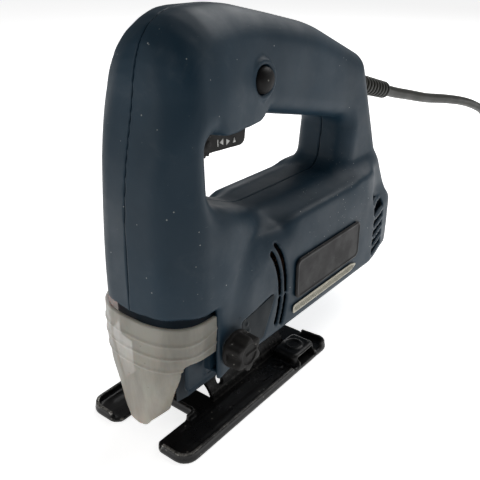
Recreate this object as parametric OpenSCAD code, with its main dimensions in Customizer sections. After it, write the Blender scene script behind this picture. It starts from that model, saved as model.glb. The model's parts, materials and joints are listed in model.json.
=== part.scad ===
// Corded D-handle jigsaw.  +X is the nose, +Y the tool's left side, +Z up.
// The origin is where the blade's axis meets the plane of the sole.  Millimetres.

/* [Housing] */
// Half width of the motor housing
body_half = 30.5; // [30:0.1:32]
// Half thickness of the grip
grip_half = 18; // [17.5:0.1:19]
// Wall thickness of the two housing halves
wall = 2.6; // [2.2:0.1:2.8]
// Height of the underside of the motor housing
body_floor = 29.5; // [29.5:0.1:30]

/* [Motor and gear] */
// Height of the motor's axis above the sole
motor_z = 54; // [53.8:0.1:54.2]
// Radius of the stator stack
stator_r = 21; // [20:0.1:21.5]
// Gear module
gear_module = 0.8; // [0.8:0.01:0.8]
// Teeth on the armature pinion
pinion_teeth = 8; // [8:1:8]
// Teeth on the drive gear
gear_teeth = 40; // [40:1:40]
// Stroke of the plunger
stroke = 18; // [16:1:18]

/* [Shoe] */
// Length of the shoe plate
shoe_len = 121; // [119:1:123]
// Half width of the shoe plate
shoe_half = 32.5; // [31:0.5:33]
// Thickness of the pressed steel
plate_t = 2; // [1.8:0.1:2.2]
// Half width of the blade slot between the prongs
fork_half = 12.2; // [12:0.05:12.4]
// Outer radius of the half-round saddle
saddle_r = 14.5; // [14.4:0.05:14.6]

/* [Guard] */
// Thickness of the clear blade guard
guard_t = 1.8; // [1.6:0.1:1.8]
// Height of the guard's top edge
guard_top = 64.5; // [64:0.5:65]

/* [Cord] */
// Diameter of the mains cord
cord_d = 7; // [7:0.1:7.2]
// Mean radius of the stored coil's turns
coil_r = 38.5; // [38:0.5:39]

/* [Hidden] */
$fn = 48;

// Gear train: the drive gear sits above the motor's axis with a little backlash.
gear_x0 = -23;
gear_x1 = -15;
centre_gap = gear_module * (pinion_teeth + gear_teeth) / 2 + 0.1;
gear_z = motor_z + centre_gap;
crank_r = stroke / 2;
rod_r = 4.5;
yoke_z = gear_z + crank_r;
run_gap = 0.05;

shoe_x1 = 21.5;
shoe_x0 = shoe_x1 - shoe_len;
saddle_x0 = -80;
saddle_x1 = -18.5;
saddle_in = saddle_r - plate_t;
knob_x = -14.5;
knob_z = 44.5;
button_x = -49.2;
button_z = 158;
dial_x = -29.5;
dial_z = 133;
arm_x = -14;
arm_z = 38;
roller_x = -10.6;
roller_z = 16;
screw_x = -48;

// Side outline of the housing as corners [x, z, radius], nose first, counterclockwise.
upper_corners = [
    [15.8, 132, 120], [8, 189.4, 30], [-40, 189.5, 70], [-100, 176, 120], [-151, 155.2, 12],
    [-166, 118, 60], [-185, 69, 2], [-190.5, 64, 5], [-192.5, 44, 10], [-186, body_floor, 8]];
housing_corners = concat([[19, 67.5, 0.3]], upper_corners,
    [[-6.5, body_floor, 1], [-6.5, 67.5, 0.3]]);
room_corners = concat([[21, body_floor, 0.3]], upper_corners);
// The finger opening of the D handle.
opening_corners = [
    [-53, 95.4, 30], [-8.2, 113.4, 12], [-8.2, 142.3, 5], [-48, 139.6, 4], [-56, 140.9, 4],
    [-132.8, 123.3, 6], [-128.8, 94.4, 10]];
// Plan of the motor housing, corners [x, y, radius].
plan_corners = [
    [-6, 0, 4], [-8, 27, 6], [-30, body_half, 14], [-150, body_half, 14], [-186, 20, 14],
    [-193, 0, 16], [-186, -20, 14], [-150, -body_half, 14], [-30, -body_half, 14], [-8, -27, 6]];
// Plan of the nose column with the grip and rear upright behind it.
column_corners = [
    [19, 0, 8], [16.5, 17, 14], [4, 29, 14], [-24, 28.6, 22], [-54, grip_half, 20],
    [-195, grip_half, 1], [-195, -grip_half, 1], [-54, -grip_half, 20], [-24, -28.6, 22],
    [4, -29, 14], [16.5, -17, 14]];
// Cross-section of the motor housing, corners [y, z, radius].
section_corners = [
    [body_half, body_floor, 6], [body_half, 76, 20], [body_half - 2, 91.5, 5], [0, 98, 1],
    [2 - body_half, 91.5, 5], [-body_half, 76, 20], [-body_half, body_floor, 6]];
// Side outline of the motor housing, with a round front about the motor's axis.
drum_x = -52;
drum_r = 36.3;
drum_corners = [
    [drum_x + drum_r, motor_z - drum_r, drum_r - 0.1], [drum_x + drum_r, motor_z + drum_r, drum_r - 0.1],
    [drum_x - 6, motor_z + drum_r, 1], [drum_x - 12, 99, 1], [-200, 99, 1],
    [-200, motor_z - drum_r, 1]];

// Screw bosses that join the halves, at [x, z].
bosses = [[-4, 168], [-101, 150], [-147, 126], [-158, 104], [-58, 84.5], [-128, 84.5], [-174, 40]];

vent_centre = [-12.5, 55];
vent_radii = [41.3, 46.2];
vent_spans = [[138, 181], [185.5, 208]];
rear_vent_heights = [71, 64, 57, 50.5, 44.5, 38.5];

// Route of the free cord from the strain relief to the coil: points [x, y, z].
cord_route = [
    [-206, 0, 124.4], [-213, 0, 122.5], [-226, 0, 119], [-240, 0, 115.6], [-254, 0, 112.1],
    [-268, 0, 108.6], [-282, 0, 105.4], [-297, 0, 102.4], [-312, 0, 99.4], [-326, 0, 96.4],
    [-342, 0, 92.8], [-358, 0, 88.8], [-373, 0, 84.6], [-388, 0, 79.8], [-402, 0, 74.8],
    [-416, -1, 69], [-430, -2.5, 62.4], [-444, -5, 55.4], [-458, -8.5, 48.4], [-472, -12.5, 41.8],
    [-486, -16.8, 36], [-500, -21, 31.4], [-515, -25, 28], [-530, -27.8, 25.9], [-545, -29.1, 24.9],
    [-560, -29.5, 24.7]];
coil_x = -562;
coil_y = 16;
coil_step = 7;
coil_turns_wide = 3;
coil_layers = 4;
coil_in = coil_r - coil_turns_wide * coil_step / 2;
coil_out = coil_r + coil_turns_wide * coil_step / 2;
coil_h = coil_layers * coil_step;
plug_x = coil_x + 42;
plug_y = coil_y + coil_out - cord_d / 2;

housing_blue = [0.13, 0.18, 0.24];
steel_grey = [0.6, 0.61, 0.63];
copper = [0.72, 0.42, 0.2];
rubber_black = [0.05, 0.05, 0.05];

// ---- plane geometry -------------------------------------------------------------------------

function unit(v) = v / norm(v);
function flat(p) = [p[0], p[1]];

// Moves every edge of a counterclockwise outline inwards by d.
function inset(p, d) = [
    for (i = [0:len(p) - 1])
        let (b = flat(p[i]), a = flat(p[(i + len(p) - 1) % len(p)]), c = flat(p[(i + 1) % len(p)]),
             u = unit(b - a), v = unit(c - b), n1 = [-u[1], u[0]], n2 = [-v[1], v[0]],
             m = (n1 + n2) / (1 + n1 * n2), left = u[0] * v[1] - u[1] * v[0] > 0)
        [b[0] + d * m[0], b[1] + d * m[1], max(0.2, p[i][2] + (left ? -d : d))]];

// Rounds each corner [x, y, radius] of an outline with an arc of a few chords.
function corner_arc(a, b, c, r, n) =
    let (u = unit(a - b), v = unit(c - b), half = acos(u * v) / 2, t = r / tan(half),
         mid = b + unit(u + v) * r / sin(half), s = unit(b + u * t - mid), e = unit(b + v * t - mid))
    [for (k = [0:n]) mid + r * unit(s * (1 - k / n) + e * k / n)];
function rounded(p, n = 5) = [
    for (i = [0:len(p) - 1])
        each corner_arc(flat(p[(i + len(p) - 1) % len(p)]), flat(p[i]), flat(p[(i + 1) % len(p)]),
                        p[i][2], n)];

// An [x, z] outline drawn between two values of y, and a [y, z] outline between two of x.
module along_y(points, y0, y1) translate([0, y1, 0]) rotate([90, 0, 0])
    linear_extrude(y1 - y0) polygon(points);
module along_x(points, x0, x1) translate([x0, 0, 0]) rotate([90, 0, 90])
    linear_extrude(x1 - x0) polygon(points);
module rod_x(r, x0, x1, y = 0, z = 0) translate([x0, y, z]) rotate([0, 90, 0])
    cylinder(r = r, h = x1 - x0);
module rod_y(r, y0, y1, x = 0, z = 0) translate([x, y0, z]) rotate([-90, 0, 0])
    cylinder(r = r, h = y1 - y0);
module rod_z(r, z0, z1, x = 0, y = 0) translate([x, y, z0]) cylinder(r = r, h = z1 - z0);
module block(lo, hi) translate(lo) cube(hi - lo);
// A block with its mirror image on the other side of the centre plane.
module pair_blocks(lo, hi) {
    block(lo, hi);
    mirror([0, 1, 0]) block(lo, hi);
}

// ---- swept tubes ----------------------------------------------------------------------------

// Closed tube of one radius along a list of points, never vertical at any of them.
module swept_tube(route, r, sides) {
    last = len(route) - 1;
    points = [
        for (i = [0:last])
            let (t = unit(route[min(i + 1, last)] - route[max(i - 1, 0)]),
                 side = unit(cross(t, [0, 0, 1])), up = cross(side, t))
            each [for (k = [0:sides - 1]) let (a = 360 * k / sides)
                route[i] + r * (cos(a) * side + sin(a) * up)]];
    walls = [for (i = [0:last - 1], k = [0:sides - 1]) let (j = (k + 1) % sides)
        [i * sides + k, i * sides + j, (i + 1) * sides + j, (i + 1) * sides + k]];
    near_cap = [for (k = [sides - 1:-1:0]) k];
    far_cap = [for (k = [0:sides - 1]) last * sides + k];
    polyhedron(points, concat(walls, [near_cap, far_cap]));
}

// Compression spring standing on z = 0.
module coil_spring(r, wire, height, turns) {
    steps = turns * 10;
    swept_tube([for (i = [0:steps])
        [r * cos(36 * i), r * sin(36 * i), wire + (height - 2 * wire) * i / steps]], wire, 6);
}

// ---- housing --------------------------------------------------------------------------------

// Outer form of the housing, or its room when every outline is moved inwards by d.
module shell_form(side, d) intersection() {
    along_y(rounded(inset(side, d)), -60, 60);
    union() {
        intersection() {
            along_x(rounded(inset(section_corners, d)), -200, 30);
            along_y(rounded(inset(drum_corners, d)), -60, 60);
            linear_extrude(200) polygon(rounded(inset(plan_corners, d)));
        }
        linear_extrude(200) polygon(rounded(inset(column_corners, d)));
    }
}

// Slots in one side wall; s is 1 on the left and -1 on the right.
module vent_cuts(s) {
    for (r = vent_radii, span = vent_spans)
        along_y([for (k = [0:8]) let (a = span[0] + (span[1] - span[0]) * k / 8)
                    [vent_centre[0] + (r + 1.2) * cos(a), vent_centre[1] + (r + 1.2) * sin(a)],
                 for (k = [8:-1:0]) let (a = span[0] + (span[1] - span[0]) * k / 8)
                    [vent_centre[0] + (r - 1.2) * cos(a), vent_centre[1] + (r - 1.2) * sin(a)]],
                min(s * 22, s * 40), max(s * 22, s * 40));
    for (z = rear_vent_heights)
        block([-171, min(s * 21, s * 40), z - 2], [-152, max(s * 21, s * 40), z + 2]);
}

module housing_form() {
    room_opening = inset(opening_corners, -wall);
    difference() {
        union() {
            difference() {
                shell_form(housing_corners, 0);
                difference() {
                    shell_form(room_corners, wall);
                    along_y(rounded(room_opening), -60, 60);
                }
            }
            // Ribs that hold the stator, the rear bearing and the upper plunger bush.
            intersection() {
                shell_form(housing_corners, 0);
                union() {
                    block([-109, -40, 30], [-106.5, 40, 88]);
                    block([-74, -40, 30], [-71.5, 40, 88]);
                    block([-149.5, -40, 30], [-144, 40, 88]);
                    block([-7.5, -40, 103.5], [17, 40, 116.5]);
                    for (b = bosses) rod_y(4.2, -40, 40, b[0], b[1]);
                    rod_y(8, grip_half - 3, grip_half + 2, button_x, button_z);
                }
            }
            // Raised collar round the lock button.
            rod_y(7.7, grip_half - 1, grip_half + 2, button_x, button_z);
        }
        along_y(rounded(opening_corners), -60, 60);
        rod_x(stator_r + run_gap, -115, -65, 0, motor_z);
        rod_x(9.5 + run_gap, -152, -142.5, 0, motor_z);
        rod_z(7 + run_gap, 100, 120);
        // Window for the gear case's nose.
        block([-25, -18.4, 20], [-5, 18.4, 34]);
        // Slot for the trigger, hole for the lock button, hole for the cord's strain relief.
        block([-53.5, -9.5, 130], [-17.5, 9.5, 147]);
        rod_y(6.15, 4, 40, button_x, button_z);
        along_cord() translate([0, 0, 41]) cylinder(r = 6.2, h = 19.4);
        // Counterbores on the right side, clearance holes and pilots for the screws.
        for (b = bosses) {
            rod_y(3.6, -60, -8, b[0], b[1]);
            rod_y(1.8, -9, 0, b[0], b[1]);
            rod_y(1.5, -0.1, 12, b[0], b[1]);
        }
        vent_cuts(1);
        vent_cuts(-1);
        // Pockets in the left side for the plates.
        plate_form(29.9, 40, 0.1);
        strip_form(29.9, 40, 0.1);
        panel_form(28.4, 40, 0.1);
        rod_y(4.6, 20, 40, knob_x, knob_z);
    }
}

module housing_left() color(housing_blue) intersection() {
    housing_form();
    block([-250, 0, 0], [60, 60, 250]);
}
module housing_right() color(housing_blue) intersection() {
    housing_form();
    block([-250, -60, 0], [60, 0, 250]);
}

module housing_screws() color(steel_grey) for (b = bosses) difference() {
    union() {
        rod_y(3.3, -10.5, -8, b[0], b[1]);
        rod_y(1.45, -8.1, 11, b[0], b[1]);
    }
    block([b[0] - 2.2, -11, b[1] - 0.45], [b[0] + 2.2, -9.3, b[1] + 0.45]);
    block([b[0] - 0.45, -11, b[1] - 2.2], [b[0] + 0.45, -9.3, b[1] + 2.2]);
}

// ---- plates on the left side ------------------------------------------------------------------

module plate_form(y0, y1, grow) along_y(rounded(inset([
    [-130.5, 45, 4], [-65.5, 45, 4], [-65.5, 68, 4], [-130.5, 68, 4]], -grow)), y0, y1);
module strip_form(y0, y1, grow) along_y(rounded(inset([
    [-131, 40.5, 0.8], [-123, 37.5, 1], [-64, 37.5, 1], [-64, 42.5, 1], [-123, 42.5, 1]], -grow)), y0, y1);
module panel_form(y0, y1, grow) along_y(rounded(inset([
    [-40, 35.5, 2], [-22.5, 35.5, 2], [-22.5, 53, 2], [-50.5, 57, 2]], -grow)), y0, y1);
module name_plate() color([0.1, 0.1, 0.11]) plate_form(29.9, 30.6, 0);
module trim_strip() color([0.55, 0.53, 0.46]) strip_form(29.9, 30.6, 0);
module selector_panel() color([0.07, 0.08, 0.09]) panel_form(28.4, 29.1, 0);

// ---- gear case and foot -----------------------------------------------------------------------

module gear_case() color(housing_blue) difference() {
    union() {
        // Bulkhead with the front bearing's pocket and the gear's axle.
        along_x([[-24, 34.2], [24, 34.2], [24, 78], [13, 90], [-13, 90], [-24, 78]], -47, -37);
        // Cheeks beside the gear, kept inside the guard.
        pair_blocks([-37, 21, 34.2], [-5, 24, 66]);
        // Floor and the cross wall that carries the lower bush.
        block([-37, -21, 34.2], [-9.5, 21, 37]);
        block([-9.5, -21, 42], [-5, 21, 54]);
        block([-5, -18, 46.5], [9.5, 18, 54]);
        // Lower nose: two cheeks whose undersides leave room for the shoe to tilt.
        for (s = [1, -1])
            along_x([[s * 7, 10.6], [s * 8.5, 12.1], [s * 18, 21.6], [s * 18, 36], [s * 7, 36]],
                    -18.2, -7);
        for (s = [1, -1])
            along_x([[s * 10.5, 14.2], [s * 18, 21.6], [s * 18, 47], [s * 10.5, 47]], -7, 3.5);
    }
    rod_x(11 + run_gap, -48, -38, 0, motor_z);
    rod_x(6, -40, -30, 0, motor_z);
    rod_x(3, -50, -30, 0, gear_z);
    rod_z(7 + run_gap, 40, 56);
    rod_y(4 + run_gap, 6, 30, knob_x, knob_z);
    block([-22, -6.9, 30], [8, 6.9, 42]);
    rod_y(1.5, -8.6, 8.6, arm_x, arm_z);
    block([-20, -6.9, 34], [-9.5, 6.9, 44]);
    block([-34, -20, 37], [-24.5, 20, 38]);
}

module saddle_foot() color([0.45, 0.46, 0.48]) difference() {
    along_x(rounded([[8.2, 12, 0.5], [13, 17.2, 1], [16, 22, 1], [16, 29.4, 0.5], [-16, 29.4, 0.5],
                     [-16, 22, 1], [-13, 17.2, 1], [-8.2, 12, 0.5]]), -66, -26);
    rod_x(saddle_r + 0.05, -90, 0);
    rod_z(2.5, 10, 28, screw_x);
}

module foot_clamp_pad() color(steel_grey) difference() {
    intersection() {
        rod_x(saddle_in - 0.1, -60, -36);
        block([-60, -6, 9], [-36, 6, 14]);
    }
    rod_z(2.8, 5, 20, screw_x);
}

module foot_clamp_screw() color([0.2, 0.2, 0.2]) difference() {
    union() {
        rod_z(4.2, 4, 9, screw_x);
        rod_z(2.45, 8.9, 27, screw_x);
    }
    translate([screw_x, 0, 3.9]) cylinder(r = 2.3, h = 3, $fn = 6);
}

// ---- motor ------------------------------------------------------------------------------------

module stator_core() color([0.5, 0.5, 0.5]) difference() {
    rod_x(stator_r, -110, -70, 0, motor_z);
    rod_x(12.6, -111, -69, 0, motor_z);
    for (s = [1, -1]) block([-111, s * 20.5 - 1, motor_z - 30], [-69, s * 20.5 + 1, motor_z + 30]);
}

module field_coils() color(copper) for (x = [-117, -70]) difference() {
    rod_x(19, x, x + 7, 0, motor_z);
    rod_x(13.5, x - 1, x + 8, 0, motor_z);
}

module ball_bearing(x0, x1, outer, bore) color(steel_grey) difference() {
    rod_x(outer, x0, x1, 0, motor_z);
    rod_x(bore, x0 - 1, x1 + 1, 0, motor_z);
    for (x = [x0 - 0.1, x1 - 0.5]) difference() {
        rod_x(outer - 1.8, x, x + 0.6, 0, motor_z);
        rod_x(bore + 1.8, x - 1, x + 2, 0, motor_z);
    }
}
module front_bearing() ball_bearing(-46, -38, 11, 4 + run_gap);
module rear_bearing() ball_bearing(-150, -143.5, 9.5, 4 + run_gap);

module brush_holders() color([0.7, 0.58, 0.3]) for (s = [1, -1]) difference() {
    block([-135, min(s * 10.5, s * 25), motor_z - 4.5], [-123, max(s * 10.5, s * 25), motor_z + 4.5]);
    block([-133.1, min(s * 8, s * 23.5), motor_z - 3.1], [-124.9, max(s * 8, s * 23.5), motor_z + 3.1]);
}
module carbon_brushes() color([0.15, 0.15, 0.16])
    pair_blocks([-133, 9.15, motor_z - 3], [-125, 17, motor_z + 3]);
module brush_springs() color(steel_grey) for (s = [1, -1])
    translate([-129, s * 17.1, motor_z]) rotate([-90 * s, 0, 0]) coil_spring(2.2, 0.4, 6.2, 4);

module armature_shaft() color([0.75, 0.76, 0.78]) {
    rod_x(4, -154, -33, 0, motor_z);
    along_x([for (k = [0:pinion_teeth - 1]) let (a = 90 + 360 * k / pinion_teeth)
        each [for (q = [[-15, 2.2], [-4.5, 3.95], [4.5, 3.95], [15, 2.2]])
            [q[1] * cos(a + q[0]), motor_z + q[1] * sin(a + q[0])]]], -34, -13.5);
}
module armature_core() color(copper) {
    difference() {
        rod_x(12, -110, -70, 0, motor_z);
        rod_x(4, -111, -69, 0, motor_z);
        for (k = [0:11]) translate([-111, 0, motor_z]) rotate([30 * k, 0, 0])
            block([0, -0.7, 10.4], [42, 0.7, 13]);
    }
    for (x = [-116.5, -70]) difference() {
        rod_x(10.6, x, x + 6.5, 0, motor_z);
        rod_x(4, x - 1, x + 8, 0, motor_z);
    }
}
module commutator() color(copper) difference() {
    rod_x(9, -137, -121, 0, motor_z);
    rod_x(4, -138, -120, 0, motor_z);
}
module cooling_fan() color([0.2, 0.2, 0.22]) difference() {
    union() {
        rod_x(7, -61, -51, 0, motor_z);
        rod_x(20, -61, -59.5, 0, motor_z);
        for (k = [0:10]) translate([-60, 0, motor_z]) rotate([k * 360 / 11, 0, 0])
            block([0, -0.7, 6], [8.2, 0.7, 19]);
    }
    rod_x(4, -62, -50, 0, motor_z);
}

module drive_gear() color(steel_grey) difference() {
    union() {
        along_x([for (k = [0:gear_teeth - 1]) let (a = 4.5 + 360 * k / gear_teeth)
            each [for (q = [[-2.4, 15.0], [-0.75, 16.8], [0.75, 16.8], [2.4, 15.0]])
                [q[1] * cos(a + q[0]), gear_z + q[1] * sin(a + q[0])]]], gear_x0, gear_x1);
        rod_x(6, -36, gear_x0, 0, gear_z);
    }
    rod_x(3 + run_gap, -37, gear_x1 + 1, 0, gear_z);
    rod_x(2.5, gear_x0 - 1, gear_x1 + 1, 0, gear_z + crank_r);
    for (a = [140, 220, 320, 400]) rod_x(2.4, gear_x0 - 1, gear_x1 + 1,
        10 * cos(a), gear_z + 10 * sin(a));
}
module crank_pin() color([0.75, 0.76, 0.78]) rod_x(2.5, gear_x0, -9.6, 0, gear_z + crank_r);
module gear_axle() color([0.75, 0.76, 0.78]) rod_x(3, -46, -15.2, 0, gear_z);

// ---- plunger, clamp and blade guide -----------------------------------------------------------

module upper_plunger_bush() color([0.7, 0.52, 0.25]) difference() {
    rod_z(7, 103.5, 116.5);
    rod_z(rod_r + run_gap, 100, 120);
}
module lower_plunger_bush() color([0.7, 0.52, 0.25]) difference() {
    rod_z(7, 42, 54);
    rod_z(rod_r + run_gap, 40, 56);
}
module plunger_rod() color([0.78, 0.79, 0.8]) rod_z(rod_r, 38, 134.5);
module plunger_yoke() color(steel_grey) difference() {
    block([-9.1, -14.5, yoke_z - 5.5], [0, 14.5, yoke_z + 5.5]);
    block([-10, -11.8, yoke_z - 2.7], [-4.6, 11.8, yoke_z + 2.7]);
    rod_z(rod_r, yoke_z - 10, yoke_z + 10);
}
module blade_clamp() color([0.35, 0.35, 0.36]) difference() {
    block([-3.9, -5, 23.2], [7, 5, 38]);
    block([-3.2, -0.75, 21], [4.8, 0.75, 35]);
    for (z = [26, 33]) rod_y(1.75, -6, -0.5, 1.5, z);
}
module clamp_screws() color(steel_grey) for (z = [26, 33]) difference() {
    rod_y(1.7, -6.5, -0.8, 1.5, z);
    block([0, -7, z - 0.3], [3, -5.9, z + 0.3]);
}

module roller_bracket() color([0.22, 0.2, 0.18]) difference() {
    union() {
        for (s = [1, -1]) along_y(rounded([[-15, 13, 1.5], [-8.3, 13, 1.5], [-8.3, 22, 1], [-11, 30, 1],
            [-11, 41, 2], [-17, 41, 2], [-17.8, 28, 1], [-17.2, 20, 1]]), s > 0 ? 4 : -5.6, s > 0 ? 5.6 : -4);
        block([-17.8, -4, 24], [-16.6, 4, 40]);
    }
    rod_y(1.55, -8, 8, arm_x, arm_z);
    rod_y(1.5, -8, 8, roller_x, roller_z);
}
module arm_pivot_pin() color([0.75, 0.76, 0.78]) rod_y(1.5, -8.5, 8.5, arm_x, arm_z);
module roller_pin() color([0.75, 0.76, 0.78]) rod_y(1.5, -5.6, 5.6, roller_x, roller_z);
module guide_roller() color(steel_grey) difference() {
    rod_y(5.8, -3.6, 3.6, roller_x, roller_z);
    rod_y(1.5 + run_gap, -5, 5, roller_x, roller_z);
    difference() {
        rod_y(7, -0.9, 0.9, roller_x, roller_z);
        rod_y(4.9, -2, 2, roller_x, roller_z);
    }
}

module selector_knob() color([0.12, 0.12, 0.13]) difference() {
    union() {
        rod_y(4, 9, 31.2, knob_x, knob_z);
        rod_y(9, 31.2, 33.2, knob_x, knob_z);
        rod_y(7, 33.2, 40, knob_x, knob_z);
        for (k = [0:5]) rod_y(2.3, 33.2, 40,
            knob_x + 6.5 * cos(60 * k + 30), knob_z + 6.5 * sin(60 * k + 30));
    }
    block([knob_x - 5, 39.3, knob_z - 0.5], [knob_x + 1, 41, knob_z + 0.5]);
}

// ---- switch group -----------------------------------------------------------------------------

module switch_body() color([0.1, 0.1, 0.1]) block([-76, -7.5, 152], [-20, 7.5, 168]);
module suppressor_capacitor() color([0.75, 0.7, 0.3]) block([-170, -7, 77], [-152, 7, 92]);

module trigger() color(rubber_black) difference() {
    union() {
        along_y(rounded([[-18.2, 131, 2], [-18.2, 144, 0.5], [-52.8, 144, 0.5], [-51, 129.5, 3]]), -9, 9);
        block([-48, -4, 143], [-44, 4, 145.8]);
    }
    // Pocket of the speed dial, and the seat of the spring.
    block([dial_x - 8, -3.3, 120], [dial_x + 8, 3.3, 141]);
    rod_z(4, 140, 150, -45);
}
module speed_dial() color([0.1, 0.1, 0.1]) difference() {
    union() {
        rod_y(7, -2.9, 2.9, dial_x, dial_z);
        rod_y(1.9, -3.2, 3.2, dial_x, dial_z);
    }
    for (k = [0:17]) rod_y(0.55, -4, 4, dial_x + 7.1 * cos(20 * k), dial_z + 7.1 * sin(20 * k));
}
module trigger_spring() color(steel_grey) translate([-45, 0, 140.1]) coil_spring(3, 0.4, 11.7, 5);

module lock_button() color(rubber_black) intersection() {
    rod_y(6, 15, 24, button_x, button_z);
    translate([button_x, 3, button_z]) sphere(r = 21, $fn = 64);
}
module lock_spring() color(steel_grey) translate([button_x, 7.6, button_z]) rotate([-90, 0, 0])
    coil_spring(3.5, 0.4, 7.3, 4);

// ---- shoe -------------------------------------------------------------------------------------

module shoe_plate() color([0.06, 0.06, 0.06]) difference() {
    union() {
        linear_extrude(plate_t) polygon(rounded([
            [shoe_x1, -fork_half, 2], [-5, -fork_half, 1], [-5, fork_half, 1], [shoe_x1, fork_half, 2],
            [shoe_x1, shoe_half - 6, 1], [shoe_x1 - 6, shoe_half, 1], [shoe_x0 + 6, shoe_half, 1],
            [shoe_x0, shoe_half - 6, 1], [shoe_x0, 6 - shoe_half, 1], [shoe_x0 + 6, -shoe_half, 1],
            [shoe_x1 - 6, -shoe_half, 1], [shoe_x1, 6 - shoe_half, 1]]));
        pair_blocks([shoe_x0 + 6, shoe_half - 1.8, 0.5], [shoe_x1 - 6, shoe_half, 5]);
        pair_blocks([shoe_x1 - 1.5, 17, 0.5], [shoe_x1, shoe_half - 6, 5]);
        pair_blocks([shoe_x0, 13, 0.5], [shoe_x0 + 1.8, shoe_half - 6, 5]);
        // Raised bridges that take the bar of a rip fence.
        pair_blocks([-87.5, 15, 1], [-67.5, shoe_half - 1.8, 8.4]);
    }
    // Window under the saddle, and the fence slots.
    block([saddle_x0, -saddle_in, -1], [-20.5, saddle_in, 5]);
    block([-84.5, -40, plate_t], [-70.5, 40, 6.4]);
}

module shoe_saddle() color([0.06, 0.06, 0.06]) difference() {
    rod_x(saddle_r, saddle_x0, saddle_x1);
    rod_x(saddle_in, saddle_x0 - 1, saddle_x1 + 1);
    block([saddle_x0 - 1, -20, -20], [saddle_x1 + 1, 20, plate_t + 0.01]);
    // Arc slot for the clamp screw, and a small hole on each side.
    intersection() {
        block([screw_x - 3.2, -20, 0], [screw_x + 3.2, 20, 20]);
        along_x([[0, 0], [13.2, 6.6], [13.2, 20], [-13.2, 20], [-13.2, 6.6]], -90, 0);
    }
    rod_y(2.2, -20, 20, -27, 9);
}

// ---- blade guard --------------------------------------------------------------------------------

// The guard is a sheet bent round the nose. Levels: [z, front x, half width, squareness of its front].
guard_levels = [
    [guard_top, 19.2, 28.3, 2.5], [56, 19.6, 28.3, 2.5], [45.5, 20.2, 27.5, 2.6], [34, 20.3, 22.8, 3],
    [28, 20, 20.6, 3], [24, 19.7, 19.2, 3], [14, 19.5, 16, 3], [5, 19.3, 12.6, 3]];
guard_back = -6.2;
guard_mid = -2;
guard_steps = 16;
function guard_point(level, t, k) =
    let (a = 90 - 180 * k / guard_steps, power = 2 / level[3])
    [guard_mid + (level[1] - t - guard_mid) * pow(max(cos(a), 0), power),
     (level[2] - t) * sign(a) * pow(abs(sin(a)), power), level[0]];
function guard_ring(level, t) = concat(
    [[guard_back, level[2] - t, level[0]]], [for (k = [0:guard_steps]) guard_point(level, t, k)],
    [[guard_back, t - level[2], level[0]]]);
module guard_sheet() {
    rings = [for (level = guard_levels) concat(guard_ring(level, 0),
        let (inner = guard_ring(level, guard_t)) [for (k = [len(inner) - 1:-1:0]) inner[k]])];
    n = len(rings[0]);
    last = len(rings) - 1;
    polyhedron([for (ring = rings) each ring],
        concat([for (i = [0:last - 1], k = [0:n - 1]) let (j = (k + 1) % n)
                    [i * n + k, (i + 1) * n + k, (i + 1) * n + j, i * n + j]],
               [for (k = [0:n / 2 - 2]) [k, k + 1, n - 2 - k, n - 1 - k]],
               [for (k = [0:n / 2 - 2]) [last * n + n - 1 - k, last * n + n - 2 - k,
                                         last * n + k + 1, last * n + k]]));
}
module blade_guard() color([0.7, 0.68, 0.64, 0.7]) intersection() {
    guard_sheet();
    // A band all round, and below it a tongue in front of the blade.
    along_y([[-7, 45.3], [10.5, 45.3], [12, 43.8], [12, 0], [25, 0], [25, 70], [-7, 70]], -40, 40);
    // The tongue's end leaves room for the shoe to tilt.
    along_x([[-40, 43.3], [-6.9, 10.2], [-6.2, 8.6], [-4.6, 7], [-2.4, 6.3], [2.4, 6.3], [4.6, 7],
             [6.2, 8.6], [6.9, 10.2], [40, 43.3], [40, 70], [-40, 70]], -10, 30);
}

// ---- cord ---------------------------------------------------------------------------------------

// Places children on the cord's axis at its exit, with Z pointing into the housing.
module along_cord() translate([-206, 0, 124.4]) rotate([0, 74.4, 0]) children();

module strain_relief() color(rubber_black) along_cord() rotate_extrude() polygon([
    [0, 0], [4.6, 0], for (k = [0:9]) each [[4.7 + 0.12 * k, 0.8 + 4.2 * k], [4.7 + 0.12 * k, 3 + 4.2 * k],
        [4.1 + 0.12 * k, 3.4 + 4.2 * k], [4.1 + 0.12 * k, 4.6 + 4.2 * k]],
    [6, 43.5], [6, 60], [8, 60], [8, 62], [3.6, 62], [3.6, 72], [0, 72]]);

// The clamp closes over the cord's inner end, just past the strain relief's flange.
module cord_clamp() color([0.15, 0.15, 0.16]) along_cord() difference() {
    block([-6, -9, 63.5], [-3.2, 9, 70.5]);
    cylinder(r = 3.62, h = 80);
    for (s = [1, -1]) translate([-10, s * 6.5, 67]) rotate([0, 90, 0]) cylinder(r = 1.5, h = 20);
}
module cord_clamp_screws() color(steel_grey) along_cord()
    for (s = [1, -1]) translate([-7.6, s * 6.5, 67]) rotate([0, 90, 0]) {
        cylinder(r = 2.5, h = 1.6);
        cylinder(r = 1.45, h = 9);
    }

module cord_tube() color([0.07, 0.07, 0.06]) swept_tube(cord_route, cord_d / 2, 10);
module cord_coil() color([0.07, 0.07, 0.06]) translate([coil_x, coil_y, 0]) rotate_extrude()
    polygon([[coil_in, 0], [coil_out, 0], [coil_out, coil_h], [coil_in, coil_h]]);
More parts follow.
